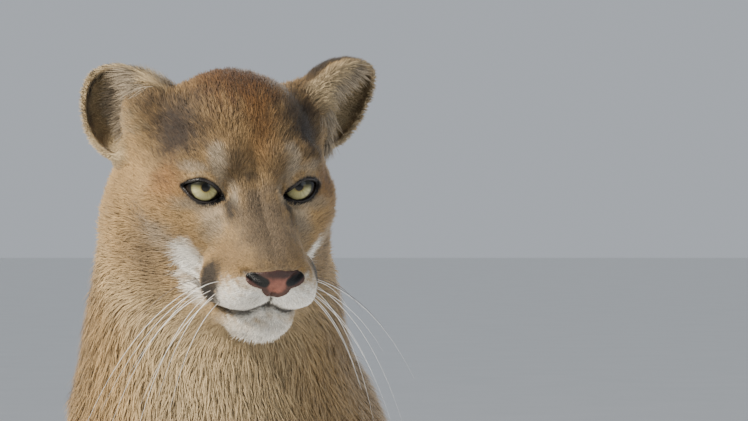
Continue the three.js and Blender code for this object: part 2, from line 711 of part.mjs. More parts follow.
// Head pieces: cutters drawn in the head's own frame
function faceFrame() {
  return new THREE.Matrix4().makeBasis(across, up, forward).setPosition(...EYE_MIDDLE);
}
const NOSE_ASIDE = 1.5; // the leather sits a little to the animal's left
function noseCutter(grow) {
  const shape = new THREE.Shape();
  const top = -39.5 + grow;
  shape.moveTo(0, top);
  shape.bezierCurveTo(10, top + 1, 21 + grow, top + 1, 23.5 + grow, -46);
  shape.bezierCurveTo(20 + grow, -52 - grow, 7 + grow, -57 - grow, 4.5 + grow, -66 - grow);
  shape.lineTo(-4.5 - grow, -66 - grow);
  shape.bezierCurveTo(-7 - grow, -57 - grow, -20 - grow, -52 - grow, -23.5 - grow, -46);
  shape.bezierCurveTo(-21 - grow, top + 1, -10, top + 1, 0, top);
  const geometry = new THREE.ExtrudeGeometry(shape, { depth: 60, bevelEnabled: false, curveSegments: 5 });
  geometry.translate(NOSE_ASIDE, 0, 64 - grow);
  return solidOf(geometry, faceFrame());
}
function jawCutter(grow) {
  const shape = new THREE.Shape();
  const back = -16;
  shape.moveTo(back - grow, -140);
  shape.lineTo(110, -140);
  for (let f = 110; f >= back; f -= 9) shape.lineTo(Math.max(f, back - grow), mouthHeight(f) + grow);
  shape.lineTo(back - grow, mouthHeight(back) + grow);
  const geometry = new THREE.ExtrudeGeometry(shape, { depth: 200, bevelEnabled: false });
  const matrix = new THREE.Matrix4().makeBasis(forward, up, across.clone().negate());
  geometry.translate(0, 0, -100);
  // forward, up and the animal's right make a right-handed set of axes
  return solidOf(geometry, matrix.setPosition(...EYE_MIDDLE));
}
function earCutter(ear, grow) {
  const [w, a, n] = ear.axes.map((axis) => new THREE.Vector3(...turnToWorld(axis.toArray())));
  const root = new THREE.Vector3(...toWorld(ear.root)).addScaledVector(a, 6 - grow);
  const frame = new THREE.Matrix4().makeBasis(w.negate(), a, n).setPosition(root);
  return block([-50, 0, -44], [50, 110, 46], frame);
}

// Building the pieces
const COLOURS = {
  coat: [0xb08a5c, 0.85],
  eye: [0xb9a24e, 0.1],
  nose: [0xa85f4c, 0.5],
};
const cougar = new THREE.Group();

function add(name, solid, finish = "coat") {
  const { points, faces } = arraysOf(largest(solid));
  const geometry = new THREE.BufferGeometry();
  geometry.setAttribute("position", new THREE.BufferAttribute(points, 3));
  geometry.setIndex(new THREE.BufferAttribute(faces, 1));
  const [color, roughness] = COLOURS[finish];
  const material = new THREE.MeshStandardMaterial({ color, roughness, metalness: 0 });
  const piece = new THREE.Mesh(geometry, material);
  piece.name = name;
  cougar.add(piece);
}

function buildHead() {
  const whole = region("head");
  let skull = whole.intersect(beyond(HEAD_CUT.point, HEAD_CUT.normal));
  for (const [side, s] of SIDES) {
    const ear = EARS[side];
    add(`ear_${side}`, largest(skull.intersect(earCutter(ear, 0))));
    skull = skull.subtract(earCutter(ear, GAP));
    const [l, f, u] = eyeCentre(s);
    const place = new THREE.Matrix4().makeTranslation(...toWorld([l, f, u]));
    const eyeball = solidOf(new THREE.SphereGeometry(EYEBALL, 20, 14), place);
    const socket = solidOf(new THREE.SphereGeometry(EYEBALL + GAP, 20, 14), place);
    add(`eye_${side}`, eyeball, "eye");
    skull = skull.subtract(socket);
  }
  add("nose", skull.intersect(noseCutter(0)), "nose");
  skull = skull.subtract(noseCutter(GAP));
  add("lower_jaw", skull.intersect(jawCutter(0)));
  add("head", skull.subtract(jawCutter(GAP)));
}

function buildTrunk() {
  const whole = region("trunk");
  const headSide = beyond(HEAD_CUT.point, HEAD_CUT.normal, -GAP / 2);
  const neckSide = beyond(NECK_CUT.point, NECK_CUT.normal);
  add("neck", whole.subtract(headSide).intersect(neckSide));
  let torso = whole.subtract(beyond(NECK_CUT.point, NECK_CUT.normal, -GAP / 2));
  for (const cutter of [forelegCutter(GAP), hindlegCutter(GAP)]) {
    torso = torso.subtract(cutter).subtract(mirrored(cutter));
  }
  torso = torso.subtract(beyond(TAIL_ROOT.point, TAIL_ROOT.normal, -GAP / 2));
  add("torso", torso);
}

function buildLegs() {
  const belowNeck = beyond(NECK_CUT.point, NECK_CUT.normal.map((v) => -v));
  const arm = region("foreleg").intersect(forelegCutter(0)).intersect(belowNeck)
    .subtract(block([-400, -400, -50], [400, 400, WRIST]));
  const forePaw = region("forePaw").intersect(block([4, -300, -50], [300, 300, WRIST - GAP]));
  const thigh = region("hindleg").intersect(hindlegCutter(0))
    .subtract(block([-400, -400, -50], [400, 800, HEEL_TOP]))
    .subtract(forelegCutter(GAP));
  const foot = region("hindPaw").intersect(hindlegCutter(0))
    .intersect(block([0, -300, -50], [300, 800, HEEL_TOP - GAP]));
  for (const [side, s] of SIDES) {
    const place = (solid) => (s > 0 ? solid : mirrored(solid));
    add(`foreleg_${side}`, place(arm));
    add(`forepaw_${side}`, place(forePaw));
    add(`thigh_${side}`, place(thigh));
    add(`hindfoot_${side}`, place(foot));
  }
}

function buildTail() {
  const inward = TAIL_ROOT.normal.map((v) => -v);
  const bodySide = block([-400, -400, -50], [205, 700, 400]);
  const rump = beyond(TAIL_ROOT.point, inward, -GAP / 2).intersect(bodySide);
  const whole = region("tail").subtract(rump);
  const [first, second] = TAIL_JOINTS;
  const behind = ({ point, normal }) => beyond(point, normal.map((v) => -v));
  const after = ({ point, normal }) => beyond(point, normal);
  add("tail_base", whole.intersect(behind(first)));
  add("tail_middle", whole.intersect(after(first)).intersect(behind(second)));
  add("tail_tip", whole.intersect(after(second)));
}

buildHead();
buildTrunk();
buildLegs();
buildTail();

// The origin is on the floor under the middle of the whole model
const bounds = new THREE.Box3().setFromObject(cougar);
const centre = bounds.getCenter(new THREE.Vector3());
cougar.position.set(-centre.x, -centre.y, -bounds.min.z);

export default cougar;
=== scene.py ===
"""A life-size sitting cougar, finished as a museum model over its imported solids.

The animal's forms are worked out in millimetres in the maker's frame, as the solids are.
Every mesh leaves this script in metres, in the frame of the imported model.
"""
import logging
import math
from collections.abc import Callable
from dataclasses import dataclass, field, fields
from enum import Enum
from typing import ClassVar

import bpy
import numpy as np
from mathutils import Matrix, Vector


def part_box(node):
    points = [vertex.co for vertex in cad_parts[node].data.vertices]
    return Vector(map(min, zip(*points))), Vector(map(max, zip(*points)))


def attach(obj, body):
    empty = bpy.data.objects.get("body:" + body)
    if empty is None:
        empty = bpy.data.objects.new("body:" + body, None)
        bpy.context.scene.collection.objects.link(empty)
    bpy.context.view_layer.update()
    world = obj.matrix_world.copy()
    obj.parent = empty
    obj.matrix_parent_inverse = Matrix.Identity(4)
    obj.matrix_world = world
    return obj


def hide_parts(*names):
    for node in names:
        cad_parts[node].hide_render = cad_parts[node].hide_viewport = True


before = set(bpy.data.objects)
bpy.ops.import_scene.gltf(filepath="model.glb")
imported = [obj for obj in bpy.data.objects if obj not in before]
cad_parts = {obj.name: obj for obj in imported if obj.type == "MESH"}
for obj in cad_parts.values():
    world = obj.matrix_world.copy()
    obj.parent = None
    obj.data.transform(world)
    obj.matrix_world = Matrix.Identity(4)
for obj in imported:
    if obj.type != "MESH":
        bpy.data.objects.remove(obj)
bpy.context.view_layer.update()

LOG = logging.getLogger("cougar")
MM = 0.001
FLOOR_CLEAR = 0.3  # how far the skin and coat stay above the floor, in millimetres
CHUNK = 150_000  # points worked on at a time
NOSE_ASIDE = 1.5  # how far the middle of the nose lies to the animal's left

Array = np.ndarray
Form = Callable[[Array], Array]
Socket = bpy.types.NodeSocket
Colour = tuple[float, float, float]
Point = tuple[float, float, float]


# Distance forms


def vec(v: Point) -> Array:
    """A point, way or size as an array."""
    return np.asarray(v, float)


def one_side(p: Array) -> Array:
    """Points with the right side folded onto the left."""
    return np.column_stack([np.abs(p[:, 0]), p[:, 1], p[:, 2]])


def span(p: Array, middle: Point) -> Array:
    """How far each point is from a middle."""
    return np.linalg.norm(p - vec(middle), axis=1)


def eggs(p: Array, middle: Point, half: Point) -> Array:
    """How many half sizes each point is from the middle of an egg-shaped space."""
    return np.linalg.norm((p - vec(middle)) / vec(half), axis=1)


def laid_on(way: Array, n: Array) -> Array:
    """The part of each way that is square to n."""
    return way - np.einsum("ij,ij->i", way, n)[:, None] * n


def blend(a: Array, b: Array, k: float) -> Array:
    """Joins two distance fields with a fillet k wide."""
    h = np.maximum(k - np.abs(a - b), 0.0) / k
    return np.minimum(a, b) - h * h * (k / 4)


def cut_away(a: Array, b: Array, k: float) -> Array:
    """Takes the field b out of the field a with a rounded edge k wide."""
    return -blend(-a, -b, k)


def limb(p: Array, start: Point, r0: float, end: Point, r1: float) -> Array:
    """Distance to a limb whose radius runs from r0 at its start to r1 at its end.

    Args:
        p: Points, one a row.
        start: Middle of the limb's start.
        r0: Radius at the start.
        end: Middle of the limb's end.
        r1: Radius at the end.

    Returns:
        Signed distance of each point.
    """
    a = vec(start)
    u = vec(end) - a
    d = p - a
    t = np.clip(d @ u / (u @ u), 0.0, 1.0)
    d = d - t[:, None] * u
    return np.sqrt(np.einsum("ij,ij->i", d, d)) - (r0 + t * (r1 - r0))


def ball(p: Array, middle: Point, half: Point) -> Array:
    """Distance, nearly, to a ball stretched to three half sizes."""
    d = (p - vec(middle)) / vec(half)
    k0 = np.sqrt(np.einsum("ij,ij->i", d, d))
    d = d / vec(half)
    k1 = np.sqrt(np.einsum("ij,ij->i", d, d))
    return k0 * (k0 - 1.0) / np.maximum(k1, 1e-9)


def ease(v: Array, low: float, high: float) -> Array:
    """Runs smoothly from 0 at low to 1 at high."""
    t = np.clip((v - low) / (high - low), 0.0, 1.0)
    return t * t * (3.0 - 2.0 * t)


def unit(v: Array) -> Array:
    """Rows scaled to length one."""
    return v / np.maximum(np.linalg.norm(v, axis=1, keepdims=True), 1e-9)


def ripple(p: Array, size: float, seed: int) -> Array:
    """Soft random-looking waves about 1 high, for mottling and clumps.

    Args:
        p: Points, one a row.
        size: Distance over which the waves change, in millimetres.
        seed: Picks one pattern of waves.

    Returns:
        One value a point, between about -1 and 1.
    """
    draw = np.random.default_rng(seed)
    total = np.zeros(len(p))
    for _ in range(6):
        way = draw.normal(size=3)
        way *= draw.uniform(0.7, 1.5) * 2 * math.pi / (size * np.linalg.norm(way))
        total += np.sin(p @ way + draw.uniform(0, 2 * math.pi))
    return total / 3.2


@dataclass(frozen=True)
class Limb:
    """One tapered form of the body, and the way its coat lies."""

    start: Point
    r0: float
    end: Point
    r1: float
    fillet: float
    lie: Point | None = None

    def distance(self, p: Array) -> Array:
        """Signed distance of each point."""
        return limb(p, self.start, self.r0, self.end, self.r1)

    def way(self) -> Array:
        """The way the coat lies on it."""
        v = vec(self.lie if self.lie else np.subtract(self.end, self.start))
        return v / np.linalg.norm(v)


@dataclass(frozen=True)
class Egg:
    """One rounded form of the head: a ball stretched to three half sizes."""

    middle: Point
    half: Point
    fillet: float

    def distance(self, p: Array) -> Array:
        """Distance, nearly, of each point."""
        return ball(p, self.middle, self.half)


def chain(p: Array, forms: tuple[Limb | Egg, ...] | list[Limb]) -> Array:
    """Distance to several forms, each blended onto those before it."""
    d = forms[0].distance(p)
    for one in forms[1:]:
        d = blend(d, one.distance(p), one.fillet)
    return d


@dataclass
class Body:
    """Trunk, neck, legs and tail, with the sizes that the solids have."""

    trunk: tuple[Limb, ...] = (
        Limb((0, 15, 545), 118, (0, 75, 470), 124, 1),
        Limb((0, 75, 470), 124, (0, 215, 335), 112, 30),
        Limb((0, 215, 335), 112, (0, 325, 215), 108, 40),
        Limb((0, 325, 215), 108, (0, 366, 98), 99.5, 30),
        Limb((-18, -38, 752), 89, (-14, 4, 622), 120, 40, (0, 0.12, -1)),
        Limb((-6, -44, 668), 78, (0, -62, 520), 70, 50, (0, 0, -1)),
        Limb((-10, -26, 764), 64, (0, 66, 606), 76, 45),
        Limb((0, -70, 470), 52, (0, -10, 400), 52, 45, (0, 0.6, -0.8)),
    )
    upper: tuple[Limb, ...] = (
        Limb((66, 62, 590), 50, (96, -48, 478), 70, 50, (0.1, 0.25, -1)),
        Limb((96, -48, 478), 70, (92, 22, 352), 56, 45, (0, 0.3, -1)),
    )
    foreleg: tuple[Limb, ...] = (
        Limb((92, 20, 345), 54, (78, -22, 118), 33, 30),
        Limb((94, 48, 345), 34, (92, 30, 290), 34, 30, (0, 0.2, -1)),
        Limb((78, -24, 116), 34, (78, -50, 52), 36, 22),
    )
    thigh: tuple[Limb, ...] = (
        Limb((72, 365, 205), 92, (112, 190, 232), 66, 45, (0, 0.1, -1)),
        Limb((82, 330, 128), 88, (108, 215, 160), 66, 40, (0, 0.1, -1)),
        Limb((114, 172, 218), 52, (106, 352, 78), 40, 34, (0, 0.55, -0.85)),
    )
    foot: tuple[Limb, ...] = (
        Limb((104, 384, 31), 33, (108, 300, 33), 36, 24),
        Limb((108, 300, 33), 36, (114, 170, 32), 34, 24),
    )
    tail: tuple[tuple[float, float, float, float], ...] = (
        (0, 425, 105, 46),
        (6, 485, 66, 36),
        (48, 540, 34, 32),
        (118, 566, 29.5, 31),
        (192, 540, 29.5, 31),
        (244, 470, 29.5, 31),
        (266, 380, 28.5, 30),
        (266, 285, 28.5, 30),
        (250, 195, 27.5, 29),
        (238, 112, 25.5, 27),
        (232, 62, 20.5, 22),
    )
    fore_paw: Point = (78, -78, 32)
    fore_half: Point = (42, 46, 34)
    hind_paw: Point = (115, 132, 30)
    hind_half: Point = (38, 46, 32)

    def tail_limbs(self) -> list[Limb]:
        """The tail as a chain of limbs from root to tip."""
        return [Limb(a[:3], a[3], b[:3], b[3], 12) for a, b in zip(self.tail, self.tail[1:])]

    @staticmethod
    def paw(p: Array, middle: Point, half: Point, toe: float, reach: float, spread: float) -> Array:
        """Distance to a foot with four toes.

        Args:
            p: Points, one a row, on the left side.
            middle: Middle of the foot.
            half: Half sizes of its ball.
            toe: Radius of a toe.
            reach: How far the middle toes reach ahead.
            spread: Distance between neighbouring toes.

        Returns:
            Signed distance of each point.
        """
        d = ball(p, middle, half)
        for i in range(4):
            across = (i - 1.5) * spread
            ahead = reach - abs(i - 1.5) * 7
            knuckle = (middle[0] + across * 0.92, middle[1] - ahead * 0.4, middle[2] + 6)
            tip = (middle[0] + across * 1.08, middle[1] - ahead - 8, toe - 2)
            d = blend(d, limb(p, knuckle, toe, tip, toe - 1.5), 5)
        return d

    def parts(self, p: Array) -> dict[str, Array]:
        """Distance to each named part of the body."""
        side = one_side(p)
        return {
            "trunk": chain(p, self.trunk),
            "foreleg": chain(side, self.foreleg),
            "forepaw": self.paw(side, self.fore_paw, self.fore_half, 17, 34, 23),
            "thigh": chain(side, self.thigh),
            "foot": chain(side, self.foot),
            "hindpaw": self.paw(side, self.hind_paw, self.hind_half, 15.5, 33, 21),
            "tail": chain(p, self.tail_limbs()),
        }

    def distance(self, p: Array) -> Array:
        """Distance to the whole body without its head."""
        part = self.parts(p)
        side = one_side(p)
        d = part["trunk"]
        for one in self.upper:
            d = blend(d, one.distance(side), one.fillet)
        d = blend(d, blend(part["foreleg"], part["forepaw"], 20), 32)
        hind = blend(part["thigh"], blend(part["foot"], part["hindpaw"], 18), 14)
        d = blend(d, hind, 36)
        return blend(d, part["tail"], 14)

    def lie(self, p: Array) -> Array:
        """The way the coat lies at each point, before it is laid on the skin."""
        side = one_side(p)
        rows = [(one.distance(p), one.way(), False) for one in (*self.trunk, *self.tail_limbs())]
        mirrored = (*self.upper, *self.foreleg, *self.thigh, *self.foot)
        rows += [(one.distance(side), one.way(), True) for one in mirrored]
        toes = np.array([0.0, -1.0, -0.35])
        for middle, half in ((self.fore_paw, self.fore_half), (self.hind_paw, self.hind_half)):
            rows.append((ball(side, middle, half) - 6, toes, True))
        nearest = np.min([row[0] for row in rows], axis=0)
        total = np.zeros((len(p), 3))
        for d, way, both in rows:
            weight = np.exp(-(d - nearest) / 12)[:, None]
            step = np.tile(way, (len(p), 1))
            if both:
                step[:, 0] *= np.sign(p[:, 0])
            total += weight * step
        return unit(total)


def turn(axis: int, degrees: float) -> Array:
    """Rotation by an angle about one axis."""
    c, s = math.cos(math.radians(degrees)), math.sin(math.radians(degrees))
    m = np.eye(3)
    i, j = [(1, 2), (2, 0), (0, 1)][axis]
    m[i, i], m[i, j], m[j, i], m[j, j] = c, -s, s, c
    return m


class Side(Enum):
    """The animal's two sides, with the sign of the way across."""

    LEFT = 1
    RIGHT = -1


@dataclass
class Ear:
    """A hollow half egg that faces its own way, in the head's frame."""

    side: Side
    middle: Point
    along: Point
    facing: Point
    half: Point = (34, 38, 26)
    wall: float = 4.6

    def axes(self) -> Array:
        """Across, along and facing, one a row."""
        along = vec(self.along)
        along /= np.linalg.norm(along)
        facing = vec(self.facing)
        facing -= facing @ along * along
        facing /= np.linalg.norm(facing)
        return np.array([np.cross(along, facing), along, facing])

    def local(self, q: Array) -> Array:
        """Points of the head's frame in the ear's own."""
        return (q - vec(self.middle)) @ self.axes().T

    def outward(self) -> float:
        """Sign of the way across the ear that leads away from the skull."""
        return self.side.value * np.sign(self.axes()[0][0])

    def near(self, q: Array, far: float = 7.0) -> Array:
        """Runs from 1 on the ear to 0 at a distance from it."""
        return 1 - ease(self.distance(q), 2, far)

    def hollow(self, q: Array, n: Array) -> Array:
        """How far each point, whose outward way is n, lies on the inside of the cup."""
        return self.near(q) * ease(n @ self.axes()[2], -0.25, 0.3)

    def distance(self, q: Array) -> Array:
        """Distance to the ear's cup."""
        a, b, c = self.local(q).T
        tall = b / self.half[1]
        wide = self.half[0] * (1 - 0.16 * tall)
        squeezed = np.column_stack([a * self.half[0] / wide, b, c + 2])
        shell = np.abs(ball(squeezed, (0, 0, 0), self.half)) - self.wall / 2
        return cut_away(shell, c - 5 * (1 - tall), 3)


@dataclass
class Head:
    """The head in its own frame: across to its left, forward along the face, and up."""

    eye_middle: Point = (20, -150, 790)  # where its frame starts among the body's points
    yaw: float = 18.3  # turn to the animal's left, in degrees
    nod: float = 18.4  # how far the face looks down, in degrees
    roll: float = -0.7
    eyeball: float = 15.0
    lid: float = 2.9
    eye: Point = (37.4, -4.5, -2.5)
    eye_turn: float = 13.0  # how far the opening is turned outward, in degrees
    slit_half: float = 16.5
    slit_above: float = 9.2
    slit_below: float = 8.8
    slit_low: float = -0.6
    slit_slant: float = 0.12  # how steeply the opening rises outward
    slit_tear: float = 0.013  # how fast it bends down to its inner corner
    socket_shift: Point = (3, 17, -1)
    socket_half: Point = (19, 10, 13)
    mouth_low: float = -83
    mouth_lowest: float = 52  # how far forward the mouth is lowest
    mouth_back: tuple[float, float] = (12, 50)  # rise behind there, over what length
    mouth_front: tuple[float, float] = (14, 36)  # the same ahead of there
    mouth_corner: float = -4
    pad_rise: float = 6  # how much higher the mouth is between the whisker pads
    pad_half: float = 17
    cleft: Point = (0, 60, -70)
    cleft_half: float = 8
    nostril: Limb = Limb((10.5, 88, -51), 4.4, (21, 76, -46), 2.6, 2)
    ears: tuple[Ear, Ear] = (
        Ear(Side.LEFT, (97, -94, 37), (0.79, -0.345, 0.5), (0.43, 0.8, -0.2)),
        Ear(Side.RIGHT, (-78, -94, 30), (-0.57, -0.5, 0.62), (-0.5, 0.84, 0.2)),
    )
    forms: tuple[Egg | Limb, ...] = (
        Egg((0, -62, 8), (62, 66, 62), 1),  # braincase
        Egg((0, -50, 17), (48, 48, 44), 24),  # crown
        Egg((37, -36, -26), (37, 50, 40), 26),  # cheekbones
        Egg((37, -46, -62), (34, 46, 40), 30),  # jowls
        Egg((50, -80, -38), (34, 40, 54), 34),  # ruff
        Egg((60, -84, 30), (24, 26, 26), 22),  # feet of the ears
        Limb((0, 5, -52), 40, (0, 44, -56), 32, 22),  # muzzle
        Limb((9, -6, -6), 20, (9, 60, -45), 16.5, 18),  # bridge of the nose
        Limb((34, 8, -34), 16, (53, -26, -22), 18, 22),  # under the eyes
        Limb((13, 40, -90), 16, (41, -40, -78), 27, 16),  # lower jaw
        Limb((20, 2, 19), 11, (47, -14, 15), 11, 16),  # brows
        Egg((0, 50, -93), (23, 22, 16), 12),  # chin
        Egg((20, 53, -63), (21.5, 29, 20.5), 9),  # whisker pads
        Egg((33, 38, -65), (13, 18, 19), 10),  # rear of the pads
        Egg((0, 66, -48), (20, 18, 15.5), 8),  # nose
    )
    basis: Array = field(init=False)

    def __post_init__(self) -> None:
        """Works out the frame's axes, one a column."""
        m = turn(1, self.roll) @ turn(2, self.yaw) @ turn(0, self.nod)
        self.basis = m @ np.array([[1, 0, 0], [0, -1, 0], [0, 0, 1]]).T

    def to_own(self, p: Array) -> Array:
        """Body points in the head's frame."""
        return (p - vec(self.eye_middle)) @ self.basis

    def to_body(self, q: Array) -> Array:
        """Points of the head's frame among the body's."""
        return vec(q) @ self.basis.T + vec(self.eye_middle)

    def mouth_height(self, q: Array) -> Array:
        """Height of the closed mouth along the head, with its rise between the whisker pads."""
        f = q[:, 1]
        behind = f < self.mouth_lowest
        rise, run = (np.where(behind, b, a) for b, a in zip(self.mouth_back, self.mouth_front))
        away = (f - self.mouth_lowest) / run
        along = self.mouth_low + rise * np.minimum(away * away, 2.2)
        return along + self.pad_rise * (1 - ease(np.abs(q[:, 0]), 0, self.pad_half)) * ease(f, 40, 60)

    def eye_way(self) -> tuple[float, float]:
        """Cosine and sine of the eye's outward turn."""
        return math.cos(math.radians(self.eye_turn)), math.sin(math.radians(self.eye_turn))

    def slit_middle(self, a: Array, level: float = 0.0) -> Array:
        """Height of the line between the lids, at a across the eye, over an eye at a level."""
        inner = np.minimum(a, 0)
        return level + self.slit_low + a * self.slit_slant - self.slit_tear * inner * inner

    def slit_frame(self, q: Array) -> tuple[Array, Array, Array]:
        """Across, up and ahead of the eye that is on the point's side."""
        s = np.abs(q[:, 0]) - self.eye[0]
        f = q[:, 1] - self.eye[1]
        c, w = self.eye_way()
        a = s * c - f * w
        return a, q[:, 2] - self.slit_middle(a, self.eye[2]), s * w + f * c

    def slit(self, q: Array) -> Array:
        """Distance, nearly, to the almond opening between the lids."""
        a, b, ahead = self.slit_frame(q)
        part = 1 - (a / self.slit_half) ** 2
        rim = np.maximum(b - self.slit_above * part, -b - self.slit_below * part) * 0.72
        return np.maximum(rim, 3 - ahead)

    def skull(self, q: Array) -> Array:
        """Distance to the head without mouth, nostrils and eyes."""
        return chain(one_side(q), self.forms)

    def distance(self, q: Array) -> Array:
        """Distance to the head with its mouth, nostrils, lids and eye openings."""
        s = one_side(q)
        d = self.skull(q)
        gap = np.hypot(q[:, 2] - self.mouth_height(q), d)
        d = np.where(q[:, 1] > self.mouth_corner, cut_away(d, 2.6 - gap, 2), d)
        past = np.maximum(np.abs(q[:, 2] - self.cleft[2]) - self.cleft_half, 0)
        groove = np.sqrt(q[:, 0] ** 2 + d**2 + past**2)
        d = np.where(q[:, 1] > self.cleft[1], cut_away(d, 1.8 - groove, 2), d)
        d = cut_away(d, -self.nostril.distance(s), self.nostril.fillet)
        socket = vec(self.eye) + vec(self.socket_shift)
        d = cut_away(d, -ball(s, socket, self.socket_half), 10)
        lids = span(s, self.eye) - self.eyeball - self.lid
        d = blend(d, lids, 6)
        return cut_away(d, -self.slit(q), 1.2)


class Tone(Enum):
    """The coat's colours, as linear light."""

    TAWNY = (0.36, 0.228, 0.095)
    BACK = (0.25, 0.145, 0.052)
    TAN = (0.225, 0.138, 0.058)
    CREAM = (0.43, 0.325, 0.185)
    WHITE = (0.86, 0.82, 0.74)
    RUST = (0.088, 0.038, 0.010)
    DEEP_RUST = (0.055, 0.023, 0.008)
    UMBER = (0.030, 0.017, 0.008)
    GREY_BROWN = (0.150, 0.105, 0.062)
    SMOKE = (0.070, 0.050, 0.030)
    ORANGE = (0.20, 0.09, 0.024)
    ASH = (0.32, 0.255, 0.175)
    SOOT = (0.020, 0.014, 0.009)
    BLACK = (0.012, 0.010, 0.009)


@dataclass(frozen=True)
class Patch:
    """A soft-edged marking: an egg-shaped space in the head's frame with a tone."""

    tone: Tone
    middle: Point
    half: Point
    strength: float = 1.0
    crisp: float = 0.5
    both: bool = True

    def weight(self, q: Array) -> Array:
        """How strongly each point takes the tone."""
        r = eggs(one_side(q) if self.both else q, self.middle, self.half)
        r += 0.10 * ripple(q, 11, 21) + 0.13 * ripple(q, 4.5, 22)
        return self.strength * (1 - ease(r, self.crisp, 2 - self.crisp))


MARKINGS = (
    # forehead, crown and the dark sides of the crown
    Patch(Tone.TAN, (0, -6, 36), (46, 40, 34), 0.9, 0.4),
    Patch(Tone.RUST, (0, -62, 76), (58, 66, 34), 0.95, 0.5),
    Patch(Tone.DEEP_RUST, (4, -58, 78), (16, 50, 28), 0.7, 0.3, False),
    Patch(Tone.ORANGE, (6, -10, 46), (10, 30, 26), 0.7, 0.2, False),
    Patch(Tone.UMBER, (53, -30, 34), (24, 36, 33), 1.0, 0.3),
    Patch(Tone.UMBER, (66, -70, 44), (20, 24, 22), 0.7, 0.3),
    # bridge of the nose, inner brows and what surrounds the eyes
    Patch(Tone.GREY_BROWN, (0, 44, -24), (25, 62, 34), 1.0, 0.5),
    Patch(Tone.SMOKE, (20, 13, 14), (8.5, 14, 15), 0.65, 0.2),
    Patch(Tone.ORANGE, (60, -12, -6), (13, 16, 15), 0.8, 0.2),
    Patch(Tone.TAN, (58, -10, -36), (22, 30, 20), 0.6, 0.2),
    Patch(Tone.ASH, (29, 8, 22), (6.5, 10, 14), 0.9, 0.4),
    Patch(Tone.ASH, (27, 13, 8), (4.5, 9, 10), 0.8, 0.4),
    Patch(Tone.ASH, (44, 2, 13), (16, 8, 4), 0.7, 0.4),
    Patch(Tone.ASH, (20, 22, -2), (5, 10, 12), 0.9, 0.4),
    Patch(Tone.ASH, (42, 4, -15), (16, 10, 6), 0.8, 0.4),
    Patch(Tone.ASH, (33, 22, -24), (9, 14, 18), 0.8, 0.4),
    # cheeks and the foot of the ear
    Patch(Tone.GREY_BROWN, (66, -22, -66), (22, 28, 24), 0.6, 0.2),
    Patch(Tone.ASH, (63, -8, -44), (14, 16, 11), 0.6, 0.3),
    Patch(Tone.WHITE, (49, 12, -61), (11.5, 15.5, 19), 1.0, 0.6),
    Patch(Tone.CREAM, (66, -82, 24), (14, 18, 12), 0.9, 0.4),
    Patch(Tone.WHITE, (45, 21, -77), (11, 14, 12), 0.9, 0.4),
    # whisker pads, their dark rear and the chin
    Patch(Tone.TAN, (24, 54, -42), (16, 22, 10), 0.8, 0.4),
    Patch(Tone.WHITE, (17, 64, -69), (25, 26, 18), 1.0, 0.65),
    Patch(Tone.SMOKE, (43, 49, -65), (12, 17, 20), 0.6, 0.2),
    Patch(Tone.SOOT, (42, 51, -63), (9.5, 13, 18), 1.0, 0.62),
    Patch(Tone.SMOKE, (41, 53, -56), (7, 9, 8), 0.5, 0.3),
    Patch(Tone.WHITE, (0, 56, -97), (24, 26, 14), 0.95, 0.4),
    # streaks at the inner and the outer corner of the eye
    Patch(Tone.SOOT, (22, 24, -14.5), (4.5, 14, 9), 0.9, 0.5),
    Patch(Tone.SOOT, (56, -16, -3), (8, 8, 2), 0.7, 0.4),
)


def whisker_spots(rows: int = 3) -> list[tuple[int, float, Array]]:
    """Whiskers of one side: each one's row, how far back it is there, and its root on the head."""
    first = np.array([35.0, 60.0, -58.0])
    backward = np.array([8.0, -18.0, 0.0])
    downward = np.array([0.0, 0.0, -7.0])
    return [
        (row, back, first + back * backward + row * downward)
        for row in range(rows)
        for back in np.arange(4 if row else 3) / 3
    ]


def laid(colours: Array, tone: Tone, weight: Array) -> Array:
    """Lays a tone over the colours so far."""
    return colours + (vec(tone.value) - colours) * np.clip(weight, 0, 1)[:, None]


@dataclass(frozen=True)
class CoatLengths:
    """How long the coat is on each part, in millimetres, and what some parts add."""

    body: float = 17.0
    chest_adds: float = 4.0
    leg: float = 10.5
    paw: float = 5.5
    tail: float = 14.0
    nose: float = 3.0
    face_adds: float = 5.6
    cheek_adds: float = 6.5
    chin_adds: float = 6.0
    ear: float = 5.0


